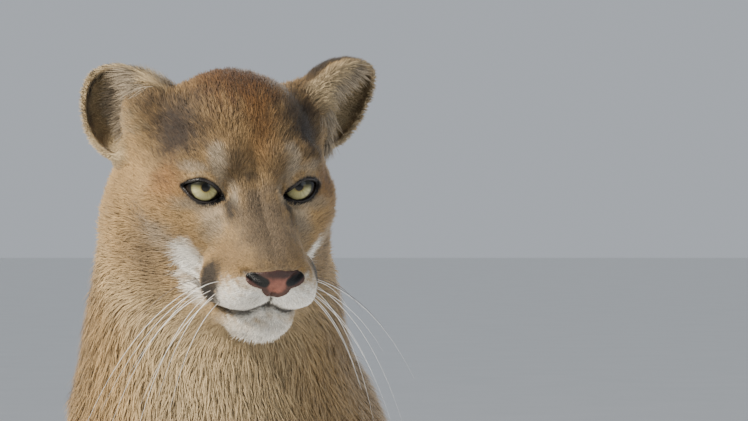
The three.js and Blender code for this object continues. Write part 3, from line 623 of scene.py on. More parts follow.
@dataclass
class Animal:
    """The whole cougar: where its surface is, how its coat lies and what tone it has."""

    body: Body = field(default_factory=Body)
    head: Head = field(default_factory=Head)
    lengths: CoatLengths = CoatLengths()
    nose: Point = (0, 78, -50)
    head_seam: Point = (0, -125, 672)
    head_way: Point = (0.1, -0.57, 0.82)
    head_middle: Point = (0, -30, -10)
    head_reach: float = 210
    buried: float = 0.36

    def by_head(self, q: Array) -> Array:
        """Which points, given in the head's frame, are close enough to matter to it."""
        return span(q, self.head_middle) < self.head_reach

    def distance(self, p: Array) -> Array:
        """Distance to the outer form, out to the tips of the coat."""
        d = self.body.distance(p)
        q = self.head.to_own(p)
        near = self.by_head(q)
        if near.any():
            own = q[near]
            h = blend(d[near], self.head.distance(own), 24)
            for ear in self.head.ears:
                h = blend(h, ear.distance(own), 9)
            d[near] = h
        return d

    def ear_weight(self, q: Array) -> Array:
        """How far each point belongs to an ear."""
        d = np.min([ear.distance(q) for ear in self.head.ears], axis=0)
        return 1 - ease(d, 1.5, 7)

    def headness(self, p: Array) -> Array:
        """Runs from 0 on the neck to 1 on the head."""
        way = vec(self.head_way) / np.linalg.norm(self.head_way)
        return ease((p - vec(self.head_seam)) @ way, -30, 26)

    def coat_length(self, p: Array) -> Array:
        """Length of the coat at each point, in millimetres."""
        q = self.head.to_own(p)
        part = self.body.parts(p)
        long = self.lengths
        away = span(q, self.nose)
        cheek = ease(np.abs(q[:, 0]), 38, 72) * ease(-q[:, 2], 0, 60) * ease(away, 55, 120)
        face = long.nose + long.face_adds * ease(away, 22, 125) + long.cheek_adds * cheek
        chin = eggs(q, (0, 48, -106), (26, 24, 12))
        face += long.chin_adds * (1 - ease(chin, 0.5, 1.3))
        face = face * (0.55 + 0.45 * ease(span(one_side(q), self.head.eye), 17, 32))
        face = face + (long.ear - face) * self.ear_weight(q)
        rest = np.full(len(p), long.body)
        chest = ease(-p[:, 1], 20, 90) * ease(p[:, 2], 420, 520)
        rest += long.chest_adds * chest
        legs = np.minimum(part["foreleg"], part["foot"])
        rest += (long.leg - rest) * (1 - ease(legs, 2, 26)) * (1 - ease(p[:, 2], 250, 400))
        paws = np.minimum(part["forepaw"], part["hindpaw"])
        rest += (long.paw - rest) * (1 - ease(paws, 0, 20))
        rest += (long.tail - rest) * (1 - ease(part["tail"], 0, 14))
        return rest + (face - rest) * self.headness(p)

    def coat_depth(self, p: Array) -> Array:
        """How far the skin lies inside the outer form."""
        q = self.head.to_own(p)
        near = self.by_head(q)
        depth = self.buried * self.coat_length(p)
        ear = np.zeros(len(p))
        ear[near] = self.ear_weight(q[near])
        depth *= 0.25 + 0.75 * ease(span(one_side(q), self.head.eye), 18, 30)
        return depth + (0.5 - depth) * ear

    def skin(self, p: Array) -> Array:
        """Distance to the skin under the coat."""
        return self.distance(p) + self.coat_depth(p)

    def lie(self, p: Array, n: Array) -> Array:
        """The way the coat lies on the skin, along the surface.

        Args:
            p: Points on the skin.
            n: The skin's outward way at each point.

        Returns:
            One unit way a point, square to n.
        """
        q = self.head.to_own(p)
        out = q - vec(self.nose)
        out[:, 1] -= 12
        for ear in self.head.ears:
            weight = ear.near(q, 9)[:, None]
            along = ear.axes()[1] + 0.25 * ear.axes()[2]
            out = unit(out) * (1 - weight) + along * weight
        face = unit(out @ self.head.basis.T)
        mix = self.headness(p)[:, None]
        return unit(laid_on(face * mix + self.body.lie(p) * (1 - mix), n))

    def body_tone(self, p: Array, n: Array) -> Array:
        """Colour of the body: darker along the back, pale below, with a dark tip to the tail."""
        c = np.tile(vec(Tone.TAWNY.value), (len(p), 1))
        spine = ease(n[:, 2], 0.25, 0.9) * (1 - ease(np.abs(p[:, 0]), 30, 110))
        nape = ease(n[:, 1], 0.2, 0.9) * (1 - ease(np.abs(p[:, 0] + 8), 20, 80))
        c = laid(c, Tone.BACK, np.maximum(spine, nape * ease(p[:, 2], 60, 200)) * 0.85)
        front = ease(-n[:, 1], 0.35, 0.95) * ease(p[:, 2], 380, 470)
        c = laid(c, Tone.CREAM, front * (1 - ease(np.abs(p[:, 0] + 4), 25, 120)) * 0.8)
        below = ease(-n[:, 2], 0.1, 0.75)
        c = laid(c, Tone.CREAM, below * ease(p[:, 2], 60, 120) * 0.9)
        inside = ease(-n[:, 0] * np.sign(p[:, 0]), 0.3, 0.9) * (1 - ease(p[:, 2], 300, 420))
        c = laid(c, Tone.CREAM, inside * 0.7)
        tail = chain(p, self.body.tail_limbs())
        c = laid(c, Tone.TAWNY, 1 - ease(tail, -2, 10))
        tip = span(p, self.body.tail[-1][:3])
        return laid(c, Tone.SOOT, (1 - ease(tip, 45, 95)) * (1 - ease(tail, 0, 12)))

    def face_tone(self, q: Array, own: Array) -> Array:
        """Colour of the head.

        Args:
            q: Points in the head's frame.
            own: The skin's outward way at each point, in the same frame.

        Returns:
            Linear red, green and blue, one row a point.
        """
        face = np.tile(vec(Tone.TAWNY.value), (len(q), 1))
        face = laid(face, Tone.CREAM, ease(-q[:, 2], 70, 120) * 0.8)
        for patch in MARKINGS:
            face = laid(face, patch.tone, patch.weight(q))
        over = q[:, 2] - self.head.mouth_height(q)
        lips = 1 - ease(np.abs(over), 1.2, 3.6)
        face = laid(face, Tone.SOOT, lips * ease(q[:, 1], 0, 14) * 0.9)
        cleft = (1 - ease(np.abs(q[:, 0] - 1), 0.5, 1.6)) * ease(q[:, 1], 60, 66)
        face = laid(face, Tone.SOOT, cleft * (q[:, 2] < -60) * (over > 0) * 0.9)
        for _, _, root in whisker_spots():
            face = laid(face, Tone.SMOKE, (1 - ease(span(one_side(q), root), 1.0, 3.4)) * 0.75)
        _, _, ahead = self.head.slit_frame(q)
        rims = (1 - ease(self.head.slit(q), 1.2, 2.8)) * ease(ahead, 0, 4)
        face = laid(face, Tone.BLACK, rims)
        for ear in self.head.ears:
            face = self.ear_tone(face, ear, q, own)
        return face

    @staticmethod
    def ear_tone(face: Array, ear: Ear, q: Array, own: Array) -> Array:
        """Lays the tones of one ear over the face: dark behind, pale in the cup, and painted shade deep
        in it where the ear's opening would lie.
        """
        a, b, _ = ear.local(q).T
        weight = ear.near(q)
        inside = ear.hollow(q, own)
        facing = own @ ear.axes()[2]
        tall = ease(b, -26, -6)
        face = laid(face, Tone.SOOT, (weight - inside) * ease(-facing, -0.05, 0.35) * tall * 0.9)
        face = laid(face, Tone.CREAM, np.maximum(inside, weight * ease(facing, -0.1, 0.2) * tall))
        # painted shade of the ear's opening, deep in the cup
        deep = 1 - ease(np.hypot(-ear.outward() * a - 11, b + 13), 4, 16)
        face = laid(face, Tone.SMOKE, inside * deep * 0.95)
        edge = 1 - ease(np.abs(facing), 0.15, 0.5)
        return laid(face, Tone.UMBER, weight * edge * ease(b, 2, 14) * 0.5)

    def tone(self, p: Array, n: Array) -> Array:
        """Colour of the coat at each point.

        Args:
            p: Points on the skin.
            n: The skin's outward way at each point.

        Returns:
            Linear red, green and blue, one row a point.
        """
        face = self.face_tone(self.head.to_own(p), n @ self.head.basis)
        mix = self.headness(p)[:, None]
        c = self.body_tone(p, n) * (1 - mix) + face * mix
        return c * (1 + 0.10 * ripple(p, 60, 5) + 0.07 * ripple(p, 17, 6))[:, None]


# Meshes from distance fields


@dataclass
class Lattice:
    """A box of sample lines, closer together where the form is fine.

    Each way holds (start, spacing) stops and ends at its last number.
    """

    x: tuple[tuple[float, float], ...]
    y: tuple[tuple[float, float], ...]
    z: tuple[tuple[float, float], ...]

    @staticmethod
    def line(stops: tuple[tuple[float, float], ...]) -> Array:
        """Positions of the sample lines along one way."""
        runs = [
            np.linspace(a, b, max(2, round((b - a) / step) + 1))[:-1]
            for (a, step), (b, _) in zip(stops, stops[1:])
        ]
        return np.concatenate([*runs, [stops[-1][0]]])

    def lines(self) -> list[Array]:
        """The sample lines of all three ways."""
        return [self.line(self.x), self.line(self.y), self.line(self.z)]


def in_chunks(form: Callable[..., Array], *rows: Array) -> Array:
    """Evaluates a form over many rows a part at a time."""
    starts = range(0, len(rows[0]), CHUNK)
    return np.concatenate([form(*[row[i : i + CHUNK] for row in rows]) for i in starts])


def grid_of(ways: list[Array]) -> Array:
    """Every combination of the values of three lists, one a row."""
    return np.stack(np.meshgrid(*ways, indexing="ij"), -1).reshape(-1, 3)


def sampled(form: Form, lines: list[Array], step: int = 4) -> Array:
    """Samples a distance form on a lattice, closely only near its surface.

    Args:
        form: Gives the distance of each row of points.
        lines: Positions along the three ways.
        step: Sample lines in a block that is first looked at as a whole.

    Returns:
        The three-way table of distances.
    """
    shape = [len(line) for line in lines]
    starts = [np.arange(0, n, step) for n in shape]
    ends = [np.minimum(s + step - 1, n - 1) for s, n in zip(starts, shape)]
    middles = [(line[s] + line[e]) / 2 for line, s, e in zip(lines, starts, ends)]
    halves = [(line[e] - line[s]) / 2 for line, s, e in zip(lines, starts, ends)]
    reach = np.linalg.norm(grid_of(halves), axis=1) * 1.5 + 6
    coarse = in_chunks(form, grid_of(middles))
    blocks = coarse.reshape([len(s) for s in starts]).astype(np.float32)
    table = blocks[np.ix_(*[np.arange(n) // step for n in shape])]
    near = grid_of([np.arange(len(s)) for s in starts])[np.abs(coarse) < reach]
    inner = grid_of([np.arange(step)] * 3)
    nodes = (near[:, None, :] * step + inner[None]).reshape(-1, 3)
    nodes = nodes[(nodes < np.array(shape)).all(1)]
    points = np.column_stack([lines[a][nodes[:, a]] for a in range(3)])
    table[tuple(nodes.T)] = in_chunks(form, points)
    return table


CORNERS = np.array([[i, j, k] for i in (0, 1) for j in (0, 1) for k in (0, 1)])
CELL_EDGES = [
    (a, b) for a in range(8) for b in range(a + 1, 8) if np.abs(CORNERS[a] - CORNERS[b]).sum() == 1
]


def surface_net(table: Array, lines: list[Array]) -> tuple[Array, Array]:
    """Makes a four-sided mesh of the level where a table of distances is nought.

    Args:
        table: Distances on the lattice.
        lines: Positions along the three ways.

    Returns:
        The points and the faces, each with four corners.
    """
    inside = table < 0
    total = np.zeros([n - 1 for n in table.shape], np.uint8)
    for corner in CORNERS:
        total += inside[tuple(slice(c, n - 1 + c) for c, n in zip(corner, table.shape))]
    active = (total > 0) & (total < 8)
    cells = np.argwhere(active)
    index = np.full(active.shape, -1, np.int32)
    index[active] = np.arange(len(cells))
    spots = [np.column_stack([lines[a][(cells + c)[:, a]] for a in range(3)]) for c in CORNERS]
    values = [table[tuple((cells + c).T)].astype(float) for c in CORNERS]
    total_p = np.zeros((len(cells), 3))
    count = np.zeros(len(cells))
    for a, b in CELL_EDGES:
        cross = (values[a] < 0) != (values[b] < 0)
        t = values[a][cross] / (values[a][cross] - values[b][cross])
        total_p[cross] += spots[a][cross] + t[:, None] * (spots[b][cross] - spots[a][cross])
        count[cross] += 1
    points = total_p / count[:, None]
    faces = []
    for axis in range(3):
        here = [slice(None)] * 3
        there = [slice(None)] * 3
        here[axis], there[axis] = slice(None, -1), slice(1, None)
        cross = inside[tuple(here)] != inside[tuple(there)]
        outward = inside[tuple(here)][cross]
        nodes = np.argwhere(cross)
        b, c = (axis + 1) % 3, (axis + 2) % 3
        edge = [n - 1 for n in table.shape]
        keep = (nodes[:, [b, c]] > 0).all(1) & (nodes[:, b] < edge[b]) & (nodes[:, c] < edge[c])
        nodes, outward = nodes[keep], outward[keep]
        quad = []
        for db, dc in ((-1, -1), (0, -1), (0, 0), (-1, 0)):
            cell = nodes.copy()
            cell[:, b] += db
            cell[:, c] += dc
            quad.append(index[tuple(cell.T)])
        quad = np.column_stack(quad)
        quad[~outward] = quad[~outward][:, ::-1]
        faces.append(quad)
    return points, np.concatenate(faces)


def slope(form: Form, p: Array, h: float = 0.15) -> tuple[Array, Array]:
    """Distance and its slope at each point."""
    d = form(p)
    g = np.column_stack([form(p + h * step) - d for step in np.eye(3)]) / h
    return d, g


def settled(form: Form, p: Array, most: float, rounds: int = 2) -> tuple[Array, Array]:
    """Moves points onto the level where a form is nought.

    Args:
        form: Gives the distance of each row of points.
        p: The points.
        most: Furthest move in one round.
        rounds: Number of rounds.

    Returns:
        The moved points and the outward way at each.
    """

    def moved(part: Array) -> Array:
        """Moves some of the points."""
        for _ in range(rounds):
            d, g = slope(form, part)
            steep = np.maximum(np.einsum("ij,ij->i", g, g), 0.25)
            part = part - (np.clip(d, -most, most) / steep)[:, None] * g
        return part

    points = in_chunks(moved, p)
    return points, in_chunks(lambda part: unit(slope(form, part)[1]), points)


def evened(points: Array, faces: Array, amount: float) -> Array:
    """Moves each point part of the way to the middle of its neighbours."""
    a = faces.ravel()
    b = np.roll(faces, -1, axis=1).ravel()
    total = np.zeros_like(points)
    for axis in range(3):
        total[:, axis] = np.bincount(a, points[b, axis], len(points))
        total[:, axis] += np.bincount(b, points[a, axis], len(points))
    count = np.bincount(a, minlength=len(points)) + np.bincount(b, minlength=len(points))
    return points + amount * (total / np.maximum(count, 1)[:, None] - points)


# Pieces


def to_scene(p: Array, offset: Array) -> Array:
    """Millimetre points of the maker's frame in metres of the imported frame."""
    return (p + offset) * MM


def piece_from(name: str, points: Array, faces: Array, corners: int) -> bpy.types.Object:
    """Makes a mesh object from arrays.

    Args:
        name: Name of the piece.
        points: Points in metres.
        faces: Corner indices, one face a row.
        corners: Corners of each face.

    Returns:
        The new object, linked to the scene.
    """
    mesh = bpy.data.meshes.new(name)
    mesh.vertices.add(len(points))
    mesh.vertices.foreach_set("co", np.ascontiguousarray(points, np.float32).ravel())
    mesh.loops.add(faces.size)
    mesh.loops.foreach_set("vertex_index", np.ascontiguousarray(faces, np.int32).ravel())
    mesh.polygons.add(len(faces))
    mesh.polygons.foreach_set("loop_start", np.arange(0, faces.size, corners, dtype=np.int32))
    mesh.update(calc_edges=True)
    mesh.validate()
    mesh.polygons.foreach_set("use_smooth", np.ones(len(faces), bool))
    piece = bpy.data.objects.new(name, mesh)
    bpy.context.scene.collection.objects.link(piece)
    return piece


def thinned(piece: bpy.types.Object, most: int) -> None:
    """Cuts a piece into triangles and takes out the least useful of them.

    Args:
        piece: The piece to thin.
        most: Number of triangles to leave.
    """
    cut = piece.modifiers.new("triangles", "TRIANGULATE")
    cut.keep_custom_normals = False
    count = sum(len(face.vertices) - 2 for face in piece.data.polygons)
    thin = piece.modifiers.new("thin", "DECIMATE")
    thin.ratio = min(1.0, most / count)
    view = bpy.context.evaluated_depsgraph_get()
    mesh = bpy.data.meshes.new_from_object(piece.evaluated_get(view))
    piece.modifiers.clear()
    old = piece.data
    piece.data = mesh
    bpy.data.meshes.remove(old)
    mesh.name = piece.name
    mesh.polygons.foreach_set("use_smooth", np.ones(len(mesh.polygons), bool))


def arrays_of(piece: bpy.types.Object) -> tuple[Array, Array]:
    """Points and three-cornered faces of a piece."""
    points = np.empty(len(piece.data.vertices) * 3, np.float32)
    piece.data.vertices.foreach_get("co", points)
    corners = np.empty(len(piece.data.loops), np.int32)
    piece.data.loops.foreach_get("vertex_index", corners)
    return points.reshape(-1, 3).astype(float), corners.reshape(-1, 3)


def store(piece: bpy.types.Object, name: str, values: Array) -> None:
    """Stores a number or a vector for each point of a piece."""
    kind, key = ("FLOAT", "value") if values.ndim == 1 else ("FLOAT_VECTOR", "vector")
    layer = piece.data.attributes.new(name, kind, "POINT")
    layer.data.foreach_set(key, values.astype(np.float32).ravel())


def paint(piece: bpy.types.Object, name: str, colours: Array) -> None:
    """Stores a colour for each point of a piece."""
    layer = piece.data.attributes.new(name, "FLOAT_COLOR", "POINT")
    rgba = np.ones((len(colours), 4), np.float32)
    rgba[:, :3] = np.clip(colours, 0, 1)
    layer.data.foreach_set("color", rgba.ravel())


class Nodes:
    """A short way to write a material's nodes."""

    def __init__(self, name: str) -> None:
        """Starts a material with one surface shader."""
        self.material = bpy.data.materials.new(name)
        self.material.use_nodes = True
        self.tree = self.material.node_tree
        self.tree.nodes.clear()
        self.shader = self.tree.nodes.new("ShaderNodeBsdfPrincipled")
        out = self.tree.nodes.new("ShaderNodeOutputMaterial")
        self.tree.links.new(self.shader.outputs["BSDF"], out.inputs["Surface"])

    def add(self, kind: str, **settings: object) -> bpy.types.Node:
        """Adds a node. Names of inputs are written with _ for a space."""
        node = self.tree.nodes.new(kind)
        for key, value in settings.items():
            if hasattr(node, key):
                setattr(node, key, value)
            else:
                node.inputs[key.replace("_", " ")].default_value = value
        return node

    def link(self, out: Socket, into: Socket) -> None:
        """Joins two sockets."""
        self.tree.links.new(out, into)

    def attribute(self, name: str) -> bpy.types.Node:
        """Reads a layer that the mesh carries."""
        return self.add("ShaderNodeAttribute", attribute_name=name)

    def noise(self, scale: float, detail: float, vector: Socket | None = None) -> Socket:
        """A noise over the object's own coordinates, or over another vector."""
        node = self.add("ShaderNodeTexNoise", Scale=scale, Detail=detail)
        if vector is None:
            vector = self.add("ShaderNodeTexCoord").outputs["Object"]
        self.link(vector, node.inputs["Vector"])
        return node.outputs["Fac"]

    def ramp(self, value: Socket, stops: list[tuple[float, Colour]]) -> Socket:
        """Turns a value into a colour."""
        node = self.add("ShaderNodeValToRGB")
        points = node.color_ramp.elements
        for point, (place, colour) in zip(points, (stops[0], stops[-1])):
            point.position = place
            point.color = (*colour, 1)
        for place, colour in stops[1:-1]:
            points.new(place).color = (*colour, 1)
        self.link(value, node.inputs["Fac"])
        return node.outputs["Color"]

    def times(self, a: Socket, b: Socket, factor: float = 1.0) -> Socket:
        """One colour multiplied by another."""
        node = self.add("ShaderNodeMix", data_type="RGBA", blend_type="MULTIPLY")
        node.inputs[0].default_value = factor
        self.link(a, node.inputs[6])
        self.link(b, node.inputs[7])
        return node.outputs[2]

    def colour(self, tone: Socket) -> None:
        """Gives the shader its colour."""
        self.link(tone, self.shader.inputs["Base Color"])

    def bump(self, height: Socket, distance: float, strength: float = 1.0) -> None:
        """Gives the shader a bump."""
        node = self.add("ShaderNodeBump", Distance=distance, Strength=strength)
        self.link(height, node.inputs["Height"])
        self.link(node.outputs["Normal"], self.shader.inputs["Normal"])

    def set(self, **values: object) -> None:
        """Sets the shader's own sockets."""
        for key, value in values.items():
            self.shader.inputs[key.replace("_", " ")].default_value = value


@dataclass(frozen=True)
class CoatFinish:
    """Fur: the markings' tone, broken up a little along and across the hairs."""

    name: str
    depth: float = 1.0
    roughness: float = 0.62
    sheen: float = 0.18
    grain: float = 900.0
    relief: float = 0.0006

    def material(self) -> bpy.types.Material:
        """Builds the material."""
        n = Nodes(self.name)
        tone = n.attribute("tone").outputs["Color"]
        d = self.depth
        fleck = n.ramp(n.noise(self.grain, 2), [(0.3, (0.8 * d,) * 3), (0.7, (1.12 * d,) * 3)])
        n.colour(n.times(tone, fleck))
        n.set(Roughness=self.roughness, Sheen_Weight=self.sheen, Sheen_Roughness=0.45)
        n.set(Specular_IOR_Level=0.28)
        n.bump(n.noise(self.grain * 0.8, 4), self.relief)
        return n.material


@dataclass(frozen=True)
class LeatherFinish:
    """Bare damp leather with a pebbled grain, two tones and darker edges."""

    name: str
    light: Colour
    dark: Colour
    roughness: float = 0.42

    def material(self) -> bpy.types.Material:
        """Builds the material."""
        n = Nodes(self.name)
        tone = n.attribute("tone").outputs["Color"]
        blotch = n.ramp(n.noise(170, 3), [(0.35, self.dark), (0.65, self.light)])
        n.colour(n.times(tone, blotch))
        cells = n.add("ShaderNodeTexVoronoi", Scale=1100.0)
        n.link(n.add("ShaderNodeTexCoord").outputs["Object"], cells.inputs["Vector"])
        n.bump(cells.outputs["Distance"], 0.0004, 0.7)
        n.set(Roughness=self.roughness, Specular_IOR_Level=0.3, Coat_Weight=0.06, Coat_Roughness=0.25)
        return n.material


@dataclass(frozen=True)
class EyeFinish:
    """A wet eye: round black pupil, pale grey-green iris with fine rays, dark edge, and a painted shadow
    of the upper lid over the iris's upper part.
    """

    name: str
    pupil: float = 3.2
    iris: float = 10.8
    reach: float = 15.0

    def material(self) -> bpy.types.Material:
        """Builds the material."""
        n = Nodes(self.name)
        out = n.attribute("out").outputs["Fac"]
        r = self.reach
        rings = n.ramp(
            out,
            [
                (0.0, (0.002, 0.002, 0.002)),
                (self.pupil / r, (0.004, 0.003, 0.002)),
                ((self.pupil + 0.35) / r, (0.20, 0.15, 0.045)),
                ((self.pupil + 1.6) / r, (0.33, 0.31, 0.14)),
                ((self.iris - 2.2) / r, (0.42, 0.40, 0.22)),
                ((self.iris - 0.7) / r, (0.26, 0.25, 0.13)),
                (self.iris / r, (0.012, 0.010, 0.007)),
                (1.0, (0.03, 0.02, 0.015)),
            ],
        )
        rays = n.attribute("rays").outputs["Vector"]
        fleck = n.ramp(n.noise(1.0, 4, rays), [(0.3, (0.62, 0.60, 0.55)), (0.7, (1.25, 1.22, 1.15))])
        # painted shadow of the upper lid: the iris darkens towards the top of the eye
        shade = n.ramp(
            n.attribute("up").outputs["Fac"],
            [(0.36, (1.0, 1.0, 1.0)), (0.49, (0.42, 0.42, 0.42)), (0.60, (0.03, 0.03, 0.03))],
        )
        n.colour(n.times(n.times(rings, fleck, 0.8), shade))
        n.set(Roughness=0.3, Specular_IOR_Level=0.15, Coat_Weight=0.4, Coat_Roughness=0.02, Coat_IOR=1.38)
        return n.material


@dataclass(frozen=True)
class HairFinish:
    """A stiff single hair, pale along its length and a little glossy."""

    name: str
    root: Colour
    tip: Colour

    def material(self) -> bpy.types.Material:
        """Builds the material."""
        n = Nodes(self.name)
        along = n.ramp(n.attribute("along").outputs["Fac"], [(0.0, self.root), (0.25, self.tip)])
        fleck = n.ramp(n.noise(300, 2), [(0.3, (0.88,) * 3), (0.7, (1.0,) * 3)])
        n.colour(n.times(along, fleck))
        n.set(Roughness=0.35, Specular_IOR_Level=0.5)
        return n.material


@dataclass
class Skin:
    """The one skin over all of the flesh, and what each of its points knows."""

    animal: Animal
    offset: Array
    lattice: Lattice = field(
        default_factory=lambda: Lattice(
            x=((-198, 7), (-122, 2.3), (132, 7), (308, 0)),
            y=((-224, 2.3), (-2, 7), (608, 0)),
            z=((-8, 7), (636, 3.4), (668, 2.3), (902, 0)),
        )
    )
    most: int = 186_000
    points: Array = field(init=False)
    faces: Array = field(init=False)
    ways: Array = field(init=False)
    piece: bpy.types.Object = field(init=False)

    def build(self) -> None:
        """Meshes the skin and makes its piece."""
        lines = self.lattice.lines()
        table = sampled(self.animal.skin, lines)
        points, faces = surface_net(table, lines)
        points, _ = settled(self.animal.skin, points, 2.0, 1)
        points = evened(points, faces, 0.5)
        piece = piece_from("skin", to_scene(points, self.offset), faces, 4)
        thinned(piece, self.most)
        self.piece = piece
        points, faces = arrays_of(piece)
        points = points / MM - self.offset
        points, ways = settled(self.animal.skin, points, 2.0, 2)
        points[:, 2] = np.maximum(points[:, 2], FLOOR_CLEAR)
        piece.data.vertices.foreach_set("co", to_scene(points, self.offset).astype(np.float32).ravel())
        piece.data.update()
        self.points, self.faces, self.ways = points, faces, ways
        LOG.info("skin: %d points, %d faces", len(points), len(faces))

    def dress(self, finish: CoatFinish) -> None:
        """Paints the skin with the coat's markings and hides the flesh of the imported solids."""
        paint(self.piece, "tone", self.animal.tone(self.points, self.ways))
        self.piece.data.materials.append(finish.material())
        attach(self.piece, "root")
        flesh = [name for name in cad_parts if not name.startswith("eye")]
        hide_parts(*flesh)

    def unwrap(self) -> Array:
        """Unwraps the skin by its own shape.

        Returns:
            The place of each face corner on the unwrap.
        """
        bpy.ops.object.select_all(action="DESELECT")
        self.piece.select_set(True)
        bpy.context.view_layer.objects.active = self.piece
        self.piece.data.uv_layers.new(name="OFBake")
        bpy.ops.object.mode_set(mode="EDIT")
        bpy.ops.mesh.select_all(action="SELECT")
        bpy.ops.uv.smart_project(angle_limit=math.radians(66), island_margin=0.001)
        bpy.ops.object.mode_set(mode="OBJECT")
        layer = self.piece.data.uv_layers["OFBake"]
        places = np.empty(len(self.piece.data.loops) * 2, np.float32)
        layer.uv.foreach_get("vector", places)
        return places.reshape(-1, 3, 2)


@dataclass
class Roots:
    """Where locks of hair grow: points, the skin's outward ways, coat lengths and unwrapped places."""

    p: Array
    n: Array
    length: Array
    place: Array


@dataclass
class Locks:
    """Many locks of hair, one a row.

    Attributes:
        p: Root of each lock.
        n: The skin's outward way at each root.
        place: Place of each root on the skin's unwrap.
        way: The way each lock lies along the skin.
        reach: Length of each lock.
        wide: Width of each lock.
        lift: How steeply each lock stands up.
        butts: Colour at the roots.
        tips: Colour at the tips.
    """

    p: Array
    n: Array
    place: Array
    way: Array
    reach: Array
    wide: Array
    lift: Array
    butts: Array
    tips: Array

    corners: ClassVar[int] = 5
    blade: ClassVar[Array] = np.array([[0, 3, 1], [0, 2, 3], [2, 4, 3]])
    patch: ClassVar[Array] = np.array([[-1, -1], [1, -1], [-0.8, 0], [0.8, 0], [0, 1]]) * 0.0015
    sunk: ClassVar[float] = 0.4  # how deep the roots are set into the skin
    waist: ClassVar[float] = 0.82  # width at half length
    settle: ClassVar[float] = 0.82  # how much of the rise is left at the tip
    roundness: ClassVar[float] = 0.55  # how far the light sees each blade as a round hair

    def some(self, rows: Array) -> "Locks":
        """The locks of these rows alone."""
        return Locks(*[getattr(self, one.name)[rows] for one in fields(self)])

    def build(self, name: str, material: bpy.types.Material, offset: Array) -> bpy.types.Object:
        """Makes one piece of locks: a tapered blade each, bent towards the skin at its tip.

        Args:
            name: Name of the piece.
            material: The coat's material.
            offset: Shift from the maker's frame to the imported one.

        Returns:
            The piece.
        """
        n, way, butts, tips = self.n, self.way, self.butts, self.tips
        across = np.cross(n, way)
        long, half, rise = self.reach[:, None], self.wide[:, None] / 2, self.lift[:, None]
        flat = np.sqrt(1 - rise**2)
        root = self.p - self.sunk * n
        middle = root + long * 0.5 * (way * flat + n * rise)
        end = root + long * (way * flat + n * rise * self.settle)
        sides = [root - across * half, root + across * half]
        sides += [middle - across * half * self.waist, middle + across * half * self.waist]
        points = np.stack([*sides, end], axis=1)
        points[..., 2] = np.maximum(points[..., 2], FLOOR_CLEAR)
        first = np.arange(len(self.p))[:, None, None] * self.corners
        faces = (first + self.blade[None]).reshape(-1, 3)
        piece = piece_from(name, to_scene(points.reshape(-1, 3), offset), faces, 3)
        facing = unit(n + way * -0.25)
        left = unit(facing - self.roundness * across)
        right = unit(facing + self.roundness * across)
        normals = np.stack([left, right, left, right, facing], axis=1).reshape(-1, 3)
        piece.data.normals_split_custom_set_from_vertices(normals.tolist())
        mids = butts * 0.35 + tips * 0.65
        paint(piece, "tone", np.stack([butts, butts, mids, mids, tips], axis=1).reshape(-1, 3))
        at = (self.place[:, None, :] + self.patch[None]).reshape(-1, 2)
        layer = piece.data.uv_layers.new(name="OFBake")
        layer.uv.foreach_set("vector", np.clip(at[faces.ravel()], 0, 1).astype(np.float32).ravel())
        piece.data.materials.append(material)
        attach(piece, "root")
        return piece


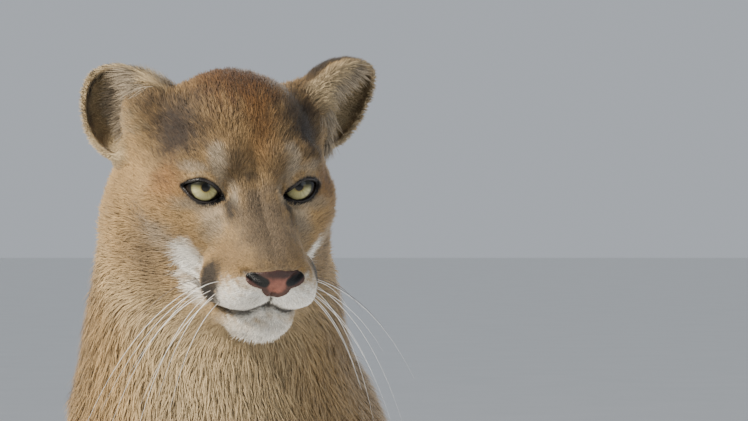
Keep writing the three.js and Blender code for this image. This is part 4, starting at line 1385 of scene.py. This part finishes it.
@dataclass
class Coat:
    """Fur laid over the skin as many small tapered locks, in pieces of a size that exports.

    Attributes:
        skin: The skin it grows on.
        most: About how many locks there are at most.
        a_piece: Locks in one piece.
        seed: Start of the random draws.
        fine: Heights between which the body's wider locks give way to the head's fine ones.
        chin: Middle of the tuft on the chin, in the head's frame.
        chin_half: Half sizes of that tuft.
        patch: Area of skin in square millimetres for a lock of no length.
        patch_by_length: What each lock's length adds to that area.
        patch_power: Power of the length in it.
        thin: Width of a lock of no length.
        thin_by_length: What a lock's length adds to its width, and once more on the body.
        stand: How steeply a short lock stands up.
    """

    skin: Skin
    most: int = 490_000
    a_piece: int = 64_000
    seed: int = 41
    fine: tuple[float, float] = (470, 600)
    chin: Point = (0, 48, -104)
    chin_half: Point = (24, 26, 14)
    patch: float = 0.12
    patch_by_length: float = 0.042
    patch_power: float = 1.55
    thin: float = 0.28
    thin_by_length: float = 0.034
    stand: float = 0.42

    def roots(self, places: Array) -> Roots:
        """Draws the locks' roots over the skin.

        Args:
            places: Unwrapped place of each corner of each face.

        Returns:
            The roots, closer together where the coat is short.
        """
        skin = self.skin
        length = in_chunks(skin.animal.coat_length, skin.points)
        tris = skin.faces
        a, b, c = (skin.points[tris[:, i]] for i in range(3))
        area = np.linalg.norm(np.cross(b - a, c - a), axis=1) / 2
        long = length[tris].mean(1)
        want = area / (self.patch + self.patch_by_length * long**self.patch_power) * 1.08
        want *= 0.45 + 0.75 * ease(((a + b + c) / 3)[:, 2], *self.fine)
        want *= min(1.0, self.most / want.sum())
        draw = np.random.default_rng(self.seed)
        count = np.floor(want + draw.random(len(want))).astype(int)
        pick = np.repeat(np.arange(len(tris)), count)
        u = draw.random((len(pick), 2))
        fold = u.sum(1) > 1
        u[fold] = 1 - u[fold]
        w = np.column_stack([1 - u.sum(1), u])
        tri = tris[pick]

        def at(values: Array) -> Array:
            """Carries corner values to the roots."""
            return np.einsum("ij,ij...->i...", w, values)

        return Roots(at(skin.points[tri]), unit(at(skin.ways[tri])), at(length[tri]), at(places[pick]))

    def combed(self, roots: Roots, draw: np.random.Generator) -> tuple[Array, Array, Array, Array]:
        """Lays the locks along the skin.

        Args:
            roots: Where they grow.
            draw: Gives the random draws.

        Returns:
            The way each lock lies, its length, its width and how steeply it stands up.
        """
        p, n, length = roots.p, roots.n, roots.length
        head = self.skin.animal.head
        many = len(p)
        lie = in_chunks(self.skin.animal.lie, p, n)
        # neighbours lean the same way, so that the coat falls in soft locks
        sway = 0.24 * ripple(p, 30, 11) + 0.20 * ripple(p, 9, 12) + draw.normal(0, 0.15, many)
        way = unit(lie + sway[:, None] * np.cross(n, lie))
        lift = self.stand - 0.12 * ease(length, 6, 18) + 0.10 * ripple(p, 13, 14)
        lift = np.clip(lift + draw.normal(0, 0.09, many), 0.08, 0.85)
        reach = length * draw.uniform(0.72, 1.18, many)
        far = 1 - ease(p[:, 2], *self.fine)
        slim = self.thin_by_length
        wide = (self.thin + (slim + slim * far) * length) * draw.uniform(0.7, 1.3, many)
        q = head.to_own(p)
        crown = ease(q[:, 2], 20, 60) * ease(-q[:, 1], 10, 50) * (q[:, 2] > 0)
        lift += crown * draw.uniform(0.05, 0.3, many)
        tufted = 1 - ease(eggs(q, self.chin, self.chin_half), 0.6, 1.2)
        lift += tufted * draw.uniform(0.1, 0.4, many)
        own = n @ head.basis
        for ear in head.ears:
            inside = ear.hollow(q, own)
            _, b, _ = ear.local(q).T
            away = ear.axes()[0] * ear.outward()
            root = 1 - ease((q - vec(ear.middle)) @ away, -6, 20)
            fan = unit(away * 0.9 + ear.axes()[1] * 0.55 + draw.normal(0, 0.22, (many, 3)))
            fan = laid_on(fan @ head.basis.T, n)
            mix = (inside * ease(b, -34, -18) * (1 - 0.6 * ease(b, 8, 26)))[:, None]
            way = unit(way * (1 - mix) + unit(fan) * mix)
            low = 1 - ease(b, 6, 24)
            reach += inside * (1 + 8 * root * low) * draw.uniform(0.4, 1.15, many)
            lift += inside * root * low * 0.25
        return way, reach, wide, np.clip(lift, 0.08, 0.9)

    def bare(self, q: Array) -> Array:
        """How bare the skin is: the nose leather, the lids and the lips' edge."""
        head = self.skin.animal.head
        _, _, ahead = head.slit_frame(q)
        lids = (1 - ease(head.slit(q), 1.8, 3.0)) * (ahead > 0)
        nose = (1 - ease(NoseLeather.outline(q), 0.0, 1.2)) * (q[:, 1] > 64)
        lips = (1 - ease(np.abs(q[:, 2] - head.mouth_height(q)), 0.8, 1.8)) * (q[:, 1] > 4)
        return np.maximum(np.maximum(lids, nose), lips * 0.8)

    def shown(self, roots: Roots, draw: np.random.Generator) -> Array:
        """Rows of the locks that grow, from the floor up, without those on bare skin."""
        keep = draw.random(len(roots.p)) > self.bare(self.skin.animal.head.to_own(roots.p))
        rows = np.flatnonzero(keep)
        draw.shuffle(rows)
        return rows[np.argsort(roots.p[rows, 2] // 1, kind="stable")]

    def toned(self, roots: Roots, draw: np.random.Generator) -> tuple[Array, Array]:
        """Colours of the locks at their roots and tips, with more dark ones on the head's top."""
        animal = self.skin.animal
        many = len(roots.p)
        top = ease(animal.head.to_own(roots.p)[:, 2], -10, 40) * animal.headness(roots.p)
        shade = (1 + draw.normal(0, 1, many) * (0.15 + 0.09 * top))[:, None]
        dark = (draw.random(many) < 0.10 + 0.16 * top)[:, None]
        tone = in_chunks(animal.tone, roots.p, roots.n)
        tips = tone * np.clip(shade, 0.5, 1.6) * np.where(dark, 0.5, 1.10)
        return tone * np.clip(shade, 0.7, 1.3) * 0.68, tips

    def build(self, places: Array, finish: CoatFinish) -> None:
        """Builds all of the coat's pieces.

        Args:
            places: Unwrapped place of each corner of each skin face.
            finish: The coat's finish.
        """
        roots = self.roots(places)
        draw = np.random.default_rng(self.seed + 1)
        way, reach, wide, lift = self.combed(roots, draw)
        rows = self.shown(roots, draw)
        locks = Locks(roots.p, roots.n, roots.place, way, reach, wide, lift, *self.toned(roots, draw))
        material = finish.material()
        for number, start in enumerate(range(0, len(rows), self.a_piece), 1):
            some = locks.some(rows[start : start + self.a_piece])
            some.build(f"coat_{number:02d}", material, self.skin.offset)
        LOG.info("coat: %d locks in %d pieces", len(rows), number)
        for ear in self.skin.animal.head.ears:
            hair = self.ear_hair(ear, roots)
            hair.build(f"ear_hair_{ear.side.name.lower()}", material, self.skin.offset)
            LOG.info("hair in the %s ear: %d locks", ear.side.name.lower(), len(hair.p))

    def ear_hair(self, ear: Ear, roots: Roots) -> Locks:
        """Long pale hairs that fan across the hollow of one ear from its inner side.

        Args:
            ear: The ear.
            roots: The coat's roots, among which the hairs' own are chosen.

        Returns:
            The hairs.
        """
        head = self.skin.animal.head
        q = head.to_own(roots.p)
        across, along, facing = ear.axes()
        away = across * ear.outward()
        out = (q - vec(ear.middle)) @ away
        tall = (q - vec(ear.middle)) @ along
        inside = ear.hollow(q, roots.n @ head.basis)
        rows = np.flatnonzero((inside > 0.6) & (out < 12) & (tall < 20))
        draw = np.random.default_rng(self.seed + 7 + ear.side.value)
        rows = rows[draw.random(len(rows)) < 0.75]
        many = len(rows)
        fan = 0.25 + 0.022 * tall[rows] + draw.normal(0, 0.22, many)
        way = (np.cos(fan)[:, None] * away + np.sin(fan)[:, None] * along) @ head.basis.T
        reach = np.minimum(draw.uniform(13, 29, many), 30 - out[rows])
        lift = np.clip(0.42 + draw.normal(0, 0.12, many), 0.1, 0.75)
        tips = vec(Tone.ASH.value) * (0.45 + 0.95 * draw.uniform(0, 1, many)[:, None])
        wide = draw.uniform(0.45, 0.9, many)
        n = np.tile(facing @ head.basis.T, (many, 1))
        return Locks(roots.p[rows], n, roots.place[rows], way, reach, wide, lift, tips * 0.55, tips)


@dataclass
class NoseLeather:
    """The bare leather of the nose, with its nostrils, set into the skin."""

    animal: Animal
    offset: Array
    edge: Colour = (0.13, 0.17, 0.2)

    @staticmethod
    def outline(q: Array) -> Array:
        """Distance, nearly, outside the leather's outline seen along the face."""
        s = np.abs(q[:, 0] - NOSE_ASIDE)
        u = q[:, 2]
        wings = np.hypot(s / 23.5, (u + 50.5) / 7.8) - 1
        base = np.hypot(s / 12.0, (u + 54) / 12.0) - 1
        return np.minimum(wings * 8, base * 11)

    def form(self, p: Array) -> Array:
        """Distance to the leather."""
        q = self.animal.head.to_own(p)
        outer = self.animal.head.distance(q) + 0.3
        return np.maximum(np.maximum(outer, self.outline(q)), 62 - q[:, 1])

    def tone(self, q: Array) -> Array:
        """Share of the leather's colour at each point: less at its edges, and none in the nostrils, which
        are painted black as the shade inside them.
        """
        dark = np.maximum(ease(self.outline(q), -6.0, -2.6) * 0.85, ease(q[:, 2], -51, -46.5) * 0.95)
        dark = np.clip(dark, 0, 1)[:, None]
        side = np.column_stack([np.abs(q[:, 0] - NOSE_ASIDE), q[:, 1:]])
        # painted shade: the leather goes black inside the nostrils
        shaded_nostril = limb(side, (10.5, 84, -52), 3.4, (22, 75, -46.5), 2.2)
        return ((1 - dark) + vec(self.edge) * dark) * ease(shaded_nostril, 0.0, 1.8)[:, None]

    def build(self, finish: LeatherFinish) -> None:
        """Builds and dresses the leather."""
        middle = self.animal.head.to_body(np.array([[NOSE_ASIDE, 76, -50]]))[0]
        lines = [np.arange(c - h, c + h, 1.0) for c, h in zip(middle, (32, 26, 28))]
        points, faces = surface_net(sampled(self.form, lines), lines)
        points, _ = settled(self.form, evened(points, faces, 0.4), 0.6, 1)
        piece = piece_from("nose_leather", to_scene(points, self.offset), faces, 4)
        paint(piece, "tone", self.tone(self.animal.head.to_own(points)))
        piece.data.materials.append(finish.material())
        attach(piece, "root")
        LOG.info("nose leather: %d faces", len(faces))


def tube(line: Array, thick: Array, sides: int, closed: bool = False) -> tuple[Array, Array]:
    """Makes a round tube along a line of points.

    Args:
        line: Points along the middle.
        thick: Radius at each point.
        sides: Number of sides.
        closed: Whether the line joins its own start.

    Returns:
        The points and the faces, each with four corners.
    """
    ahead = np.roll(line, -1, 0) - np.roll(line, 1, 0)
    if not closed:
        ahead[0] = line[1] - line[0]
        ahead[-1] = line[-1] - line[-2]
    ahead = unit(ahead)
    first = unit(np.cross(ahead, np.array([0.31, 0.42, 0.85])))
    second = np.cross(ahead, first)
    angle = np.arange(sides) * 2 * math.pi / sides
    c, w = np.cos(angle)[None, :, None], np.sin(angle)[None, :, None]
    ring = line[:, None, :] + thick[:, None, None] * (c * first[:, None] + w * second[:, None])
    row = np.arange(sides)
    after = (row + 1) % sides
    faces = []
    for i in range(len(line) if closed else len(line) - 1):
        a = i * sides
        b = ((i + 1) % len(line)) * sides
        faces.append(np.column_stack([a + row, a + after, b + after, b + row]))
    return ring.reshape(-1, 3), np.concatenate(faces)


@dataclass
class Eye:
    """An eyeball with a raised cornea, a painted iris and the dark rims of its lids."""

    head: Head
    side: Side
    offset: Array
    gaze: Point = (0.20, -1.0, -0.10)
    cornea: float = 1.1
    rings: int = 48
    front_rings: int = 36
    around: int = 72

    def centre(self) -> Array:
        """Middle of the eyeball in the head's frame."""
        return vec(self.head.eye) * np.array([self.side.value, 1, 1])

    def looking(self) -> Array:
        """The way the eye looks, in the head's frame: towards what is ahead of the chest."""
        way = vec(self.gaze) @ self.head.basis
        return way / np.linalg.norm(way)

    def ball_faces(self) -> Array:
        """The eyeball's three-cornered faces, ring by ring from its front."""
        row = np.arange(self.around)
        after = (row + 1) % self.around
        faces = [np.column_stack([np.zeros(self.around, int), 1 + row, 1 + after])]
        for i in range(self.rings - 2):
            a = 1 + i * self.around
            b = a + self.around
            faces.append(np.column_stack([a + row, b + row, b + after]))
            faces.append(np.column_stack([a + row, b + after, a + after]))
        return np.concatenate(faces)

    def build_ball(self, finish: EyeFinish) -> None:
        """Builds the eyeball, with what its paint needs stored at each point."""
        radius = self.head.eyeball - 0.15
        front = self.looking()
        across = np.cross(front, np.array([0.0, 0.0, 1.0]))
        across /= np.linalg.norm(across)
        up = np.cross(across, front)
        behind = np.linspace(1.0, math.pi, self.rings - self.front_rings + 1)[1:]
        tilt = np.concatenate([np.linspace(0, 1.0, self.front_rings), behind])
        angle = np.arange(self.around) * 2 * math.pi / self.around
        out = radius * np.sin(tilt)
        rise = self.cornea * np.clip(1 - (out / finish.iris) ** 2, 0, 1) * (tilt < 1.2)
        ahead = radius * np.cos(tilt) + rise
        circle = np.cos(angle)[None, :, None] * across + np.sin(angle)[None, :, None] * up
        ring = (out[1:, None, None] * circle + ahead[1:, None, None] * front).reshape(-1, 3)
        points = np.concatenate([(ahead[0] * front)[None], ring])
        own = self.head.to_body(points + self.centre())
        name = self.side.name.lower()
        piece = piece_from(f"eyeball_{name}", to_scene(own, self.offset), self.ball_faces(), 3)
        wide = np.where(tilt > math.pi / 2, radius, out)[1:]
        spread = np.concatenate([[0.0], np.repeat(wide, self.around)])
        turned = np.concatenate([[0.0], np.tile(angle, self.rings - 1)])
        store(piece, "out", spread / finish.reach)
        store(piece, "rays", np.column_stack([np.cos(turned) * 7, np.sin(turned) * 7, spread * 0.12]))
        # height across the eye, which the painted shadow of the upper lid follows
        store(piece, "up", points @ up / finish.iris * 0.5 + 0.5)
        piece.data.materials.append(finish.material())
        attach(piece, "root")
        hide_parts(f"eye_{self.side.name.lower()}")
        LOG.info("%s eyeball: iris %.1f mm across", name, 2 * finish.iris)

    def rim_line(self, count: int = 96) -> tuple[Array, Array]:
        """The edge of the opening between the lids, in the head's frame, and its thickness."""
        h = self.head
        angle = np.arange(count) * 2 * math.pi / count
        a = h.slit_half * np.cos(angle) * 0.985
        part = 1 - (a / h.slit_half) ** 2
        upper = np.sin(angle) >= 0
        b = h.slit_middle(a) + np.where(upper, h.slit_above, -h.slit_below) * part
        radius = h.eyeball + 0.9
        ahead = np.sqrt(np.maximum(radius**2 - a**2 - b**2, 30.0))
        c, w = h.eye_way()
        line = np.column_stack([a * c + ahead * w, -a * w + ahead * c, b]) + vec(h.eye)
        line[:, 0] *= self.side.value
        return line, 0.95 + 0.6 * ease(-a, 4, 16) + np.where(upper, 0.35, 0.05)

    def build_rim(self, finish: LeatherFinish) -> None:
        """Builds the lids' dark wet rim."""
        line, thick = self.rim_line()
        points, faces = tube(line, thick, 10, closed=True)
        name = f"lid_rim_{self.side.name.lower()}"
        piece = piece_from(name, to_scene(self.head.to_body(points), self.offset), faces, 4)
        paint(piece, "tone", np.ones((len(points), 3)))
        piece.data.materials.append(finish.material())
        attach(piece, "root")
        LOG.info("%s: %d faces", name, len(faces))


@dataclass
class Whiskers:
    """Long stiff hairs in rows on the whisker pads."""

    head: Head
    offset: Array
    seed: int = 7
    thick: float = 0.27
    sides: int = 5
    steps: int = 14

    def strands(self, dark: bool) -> list[Array]:
        """Lines of the pale or the dark whiskers in the head's frame."""
        draw = np.random.default_rng(self.seed)
        made = []
        for side in Side:
            for row, back, spot in whisker_spots():
                root = spot + draw.normal(0, 0.9, 3)
                long = (66 + 58 * back) * draw.uniform(0.8, 1.15) * (0.7 if row == 0 else 1)
                way = np.array([0.80, 0.10 - 0.30 * back, -0.10 - 0.22 * row]) + draw.normal(0, 0.09, 3)
                droop = np.array([-0.14, 0.08, -0.40 - 0.10 * row]) * draw.uniform(0.7, 1.4)
                if (row == 0 and back > 0) == dark:
                    made.append(self.bent(root, way, droop, long) * np.array([side.value, 1, 1]))
        return made

    def bent(self, root: Array, way: Array, droop: Array, long: float) -> Array:
        """A hair that starts one way and droops another."""
        t = np.linspace(0, 1, self.steps)[:, None]
        return root + long * (t * (way / np.linalg.norm(way)) + t * t * droop)

    def build(self, name: str, dark: bool, finish: HairFinish) -> None:
        """Builds the pale or the dark whiskers as one piece."""
        along = np.linspace(0, 1, self.steps)
        thick = self.thick * (1 - 0.88 * along**1.3)
        hairs = [tube(line, thick, self.sides) for line in self.strands(dark)]
        points = self.head.to_body(np.concatenate([own for own, _ in hairs]))
        faces = np.concatenate([corners + i * len(own) for i, (own, corners) in enumerate(hairs)])
        piece = piece_from(name, to_scene(points, self.offset), faces, 4)
        store(piece, "along", np.tile(np.repeat(along, self.sides), len(hairs)))
        piece.data.materials.append(finish.material())
        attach(piece, "root")
        LOG.info("%s: %d hairs", name, len(hairs))


@dataclass
class Studio:
    """Floor, light and camera."""

    eye_middle: Array
    distance: float = 3.0
    lens: float = 187.5
    aside: float = 0.0946
    drop: float = 0.0205

    def build(self) -> None:
        """Sets up the studio."""
        self.floor()
        self.camera()
        self.lights()

    def floor(self) -> None:
        """A large plain pale floor."""
        mesh = bpy.data.meshes.new("floor")
        far = 60.0
        corners = [(-far, -far, 0), (far, -far, 0), (far, far, 0), (-far, far, 0)]
        mesh.from_pydata(corners, [], [(0, 1, 2, 3)])
        piece = bpy.data.objects.new("floor", mesh)
        bpy.context.scene.collection.objects.link(piece)
        n = Nodes("floor_paint")
        grain = n.ramp(n.noise(3.0, 4), [(0.3, (0.79, 0.79, 0.78)), (0.7, (0.82, 0.82, 0.81))])
        n.colour(grain)
        n.set(Roughness=0.7)
        piece.data.materials.append(n.material)

    def camera(self) -> None:
        """The photograph's viewing angle: level, straight at the chest, from three metres."""
        data = bpy.data.cameras.new("camera")
        data.lens = self.lens
        data.sensor_width = 36.0
        data.clip_end = 200.0
        item = bpy.data.objects.new("camera", data)
        bpy.context.scene.collection.objects.link(item)
        item.location = Vector(self.eye_middle) + Vector((self.aside, -self.distance, -self.drop))
        item.rotation_euler = (math.pi / 2, 0, 0)
        bpy.context.scene.camera = item

    def lamp(self, name: str, place: Point, size: float, power: float, colour: Colour) -> None:
        """One soft lamp that shines at the chest."""
        data = bpy.data.lights.new(name, "AREA")
        data.shape = "DISK"
        data.size = size
        data.energy = power
        data.color = colour
        item = bpy.data.objects.new(name, data)
        bpy.context.scene.collection.objects.link(item)
        item.location = place
        aim = Vector((0, -0.15, 0.6)) - Vector(place)
        item.rotation_euler = aim.to_track_quat("-Z", "Y").to_euler()

    def lights(self) -> None:
        """A warm soft key from the upper left front, a cool fill and a rim."""
        world = bpy.data.worlds.new("studio")
        world.use_nodes = True
        world.node_tree.nodes["Background"].inputs["Color"].default_value = (0.72, 0.77, 0.84, 1)
        world.node_tree.nodes["Background"].inputs["Strength"].default_value = 0.62
        bpy.context.scene.world = world
        self.lamp("key", (-2.4, -2.2, 3.0), 0.7, 330, (1.0, 0.94, 0.83))
        self.lamp("fill", (2.6, -2.2, 1.4), 2.2, 26, (0.86, 0.93, 1.0))
        self.lamp("rim", (1.2, 2.8, 2.6), 1.6, 60, (1.0, 0.98, 0.94))


def packed_offset(head: Head) -> Array:
    """Shift from the maker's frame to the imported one, from where the eyes are."""
    corners = [np.array(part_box(name), float) for name in ("eye_left", "eye_right")]
    middle = np.mean([c.mean(0) for c in corners], axis=0) / MM
    own = head.to_body(np.array([[0.0, head.eye[1], head.eye[2]]]))[0]
    return middle - own


def main() -> None:
    """Builds the cougar piece by piece, then the studio."""
    logging.basicConfig(level=logging.INFO, format="%(name)s: %(message)s")
    animal = Animal()
    offset = packed_offset(animal.head)
    LOG.info("shift to the packed frame: %s mm", np.round(offset, 2))
    skin = Skin(animal, offset)
    skin.build()
    skin.dress(CoatFinish("undercoat", depth=0.78, relief=0.0011))
    places = skin.unwrap()
    LOG.info("skin unwrapped")
    Coat(skin).build(places, CoatFinish("coat"))
    leather = LeatherFinish("nose_leather", (0.27, 0.10, 0.068), (0.17, 0.06, 0.042))
    NoseLeather(animal, offset).build(leather)
    rim = LeatherFinish("lid_leather", (0.022, 0.017, 0.015), (0.010, 0.008, 0.008), 0.3)
    for side in Side:
        eye = Eye(animal.head, side, offset)
        eye.build_ball(EyeFinish(f"eye_{side.name.lower()}"))
        eye.build_rim(rim)
    pale = HairFinish("whisker", (0.5, 0.45, 0.38), (0.92, 0.90, 0.86))
    dark = HairFinish("whisker_dark", (0.05, 0.04, 0.03), (0.09, 0.07, 0.06))
    whiskers = Whiskers(animal.head, offset)
    whiskers.build("whiskers", False, pale)
    whiskers.build("whiskers_dark", True, dark)
    Studio(to_scene(vec(animal.head.eye_middle), offset)).build()
    LOG.info("studio set up")


if __name__ == "__main__":
    main()
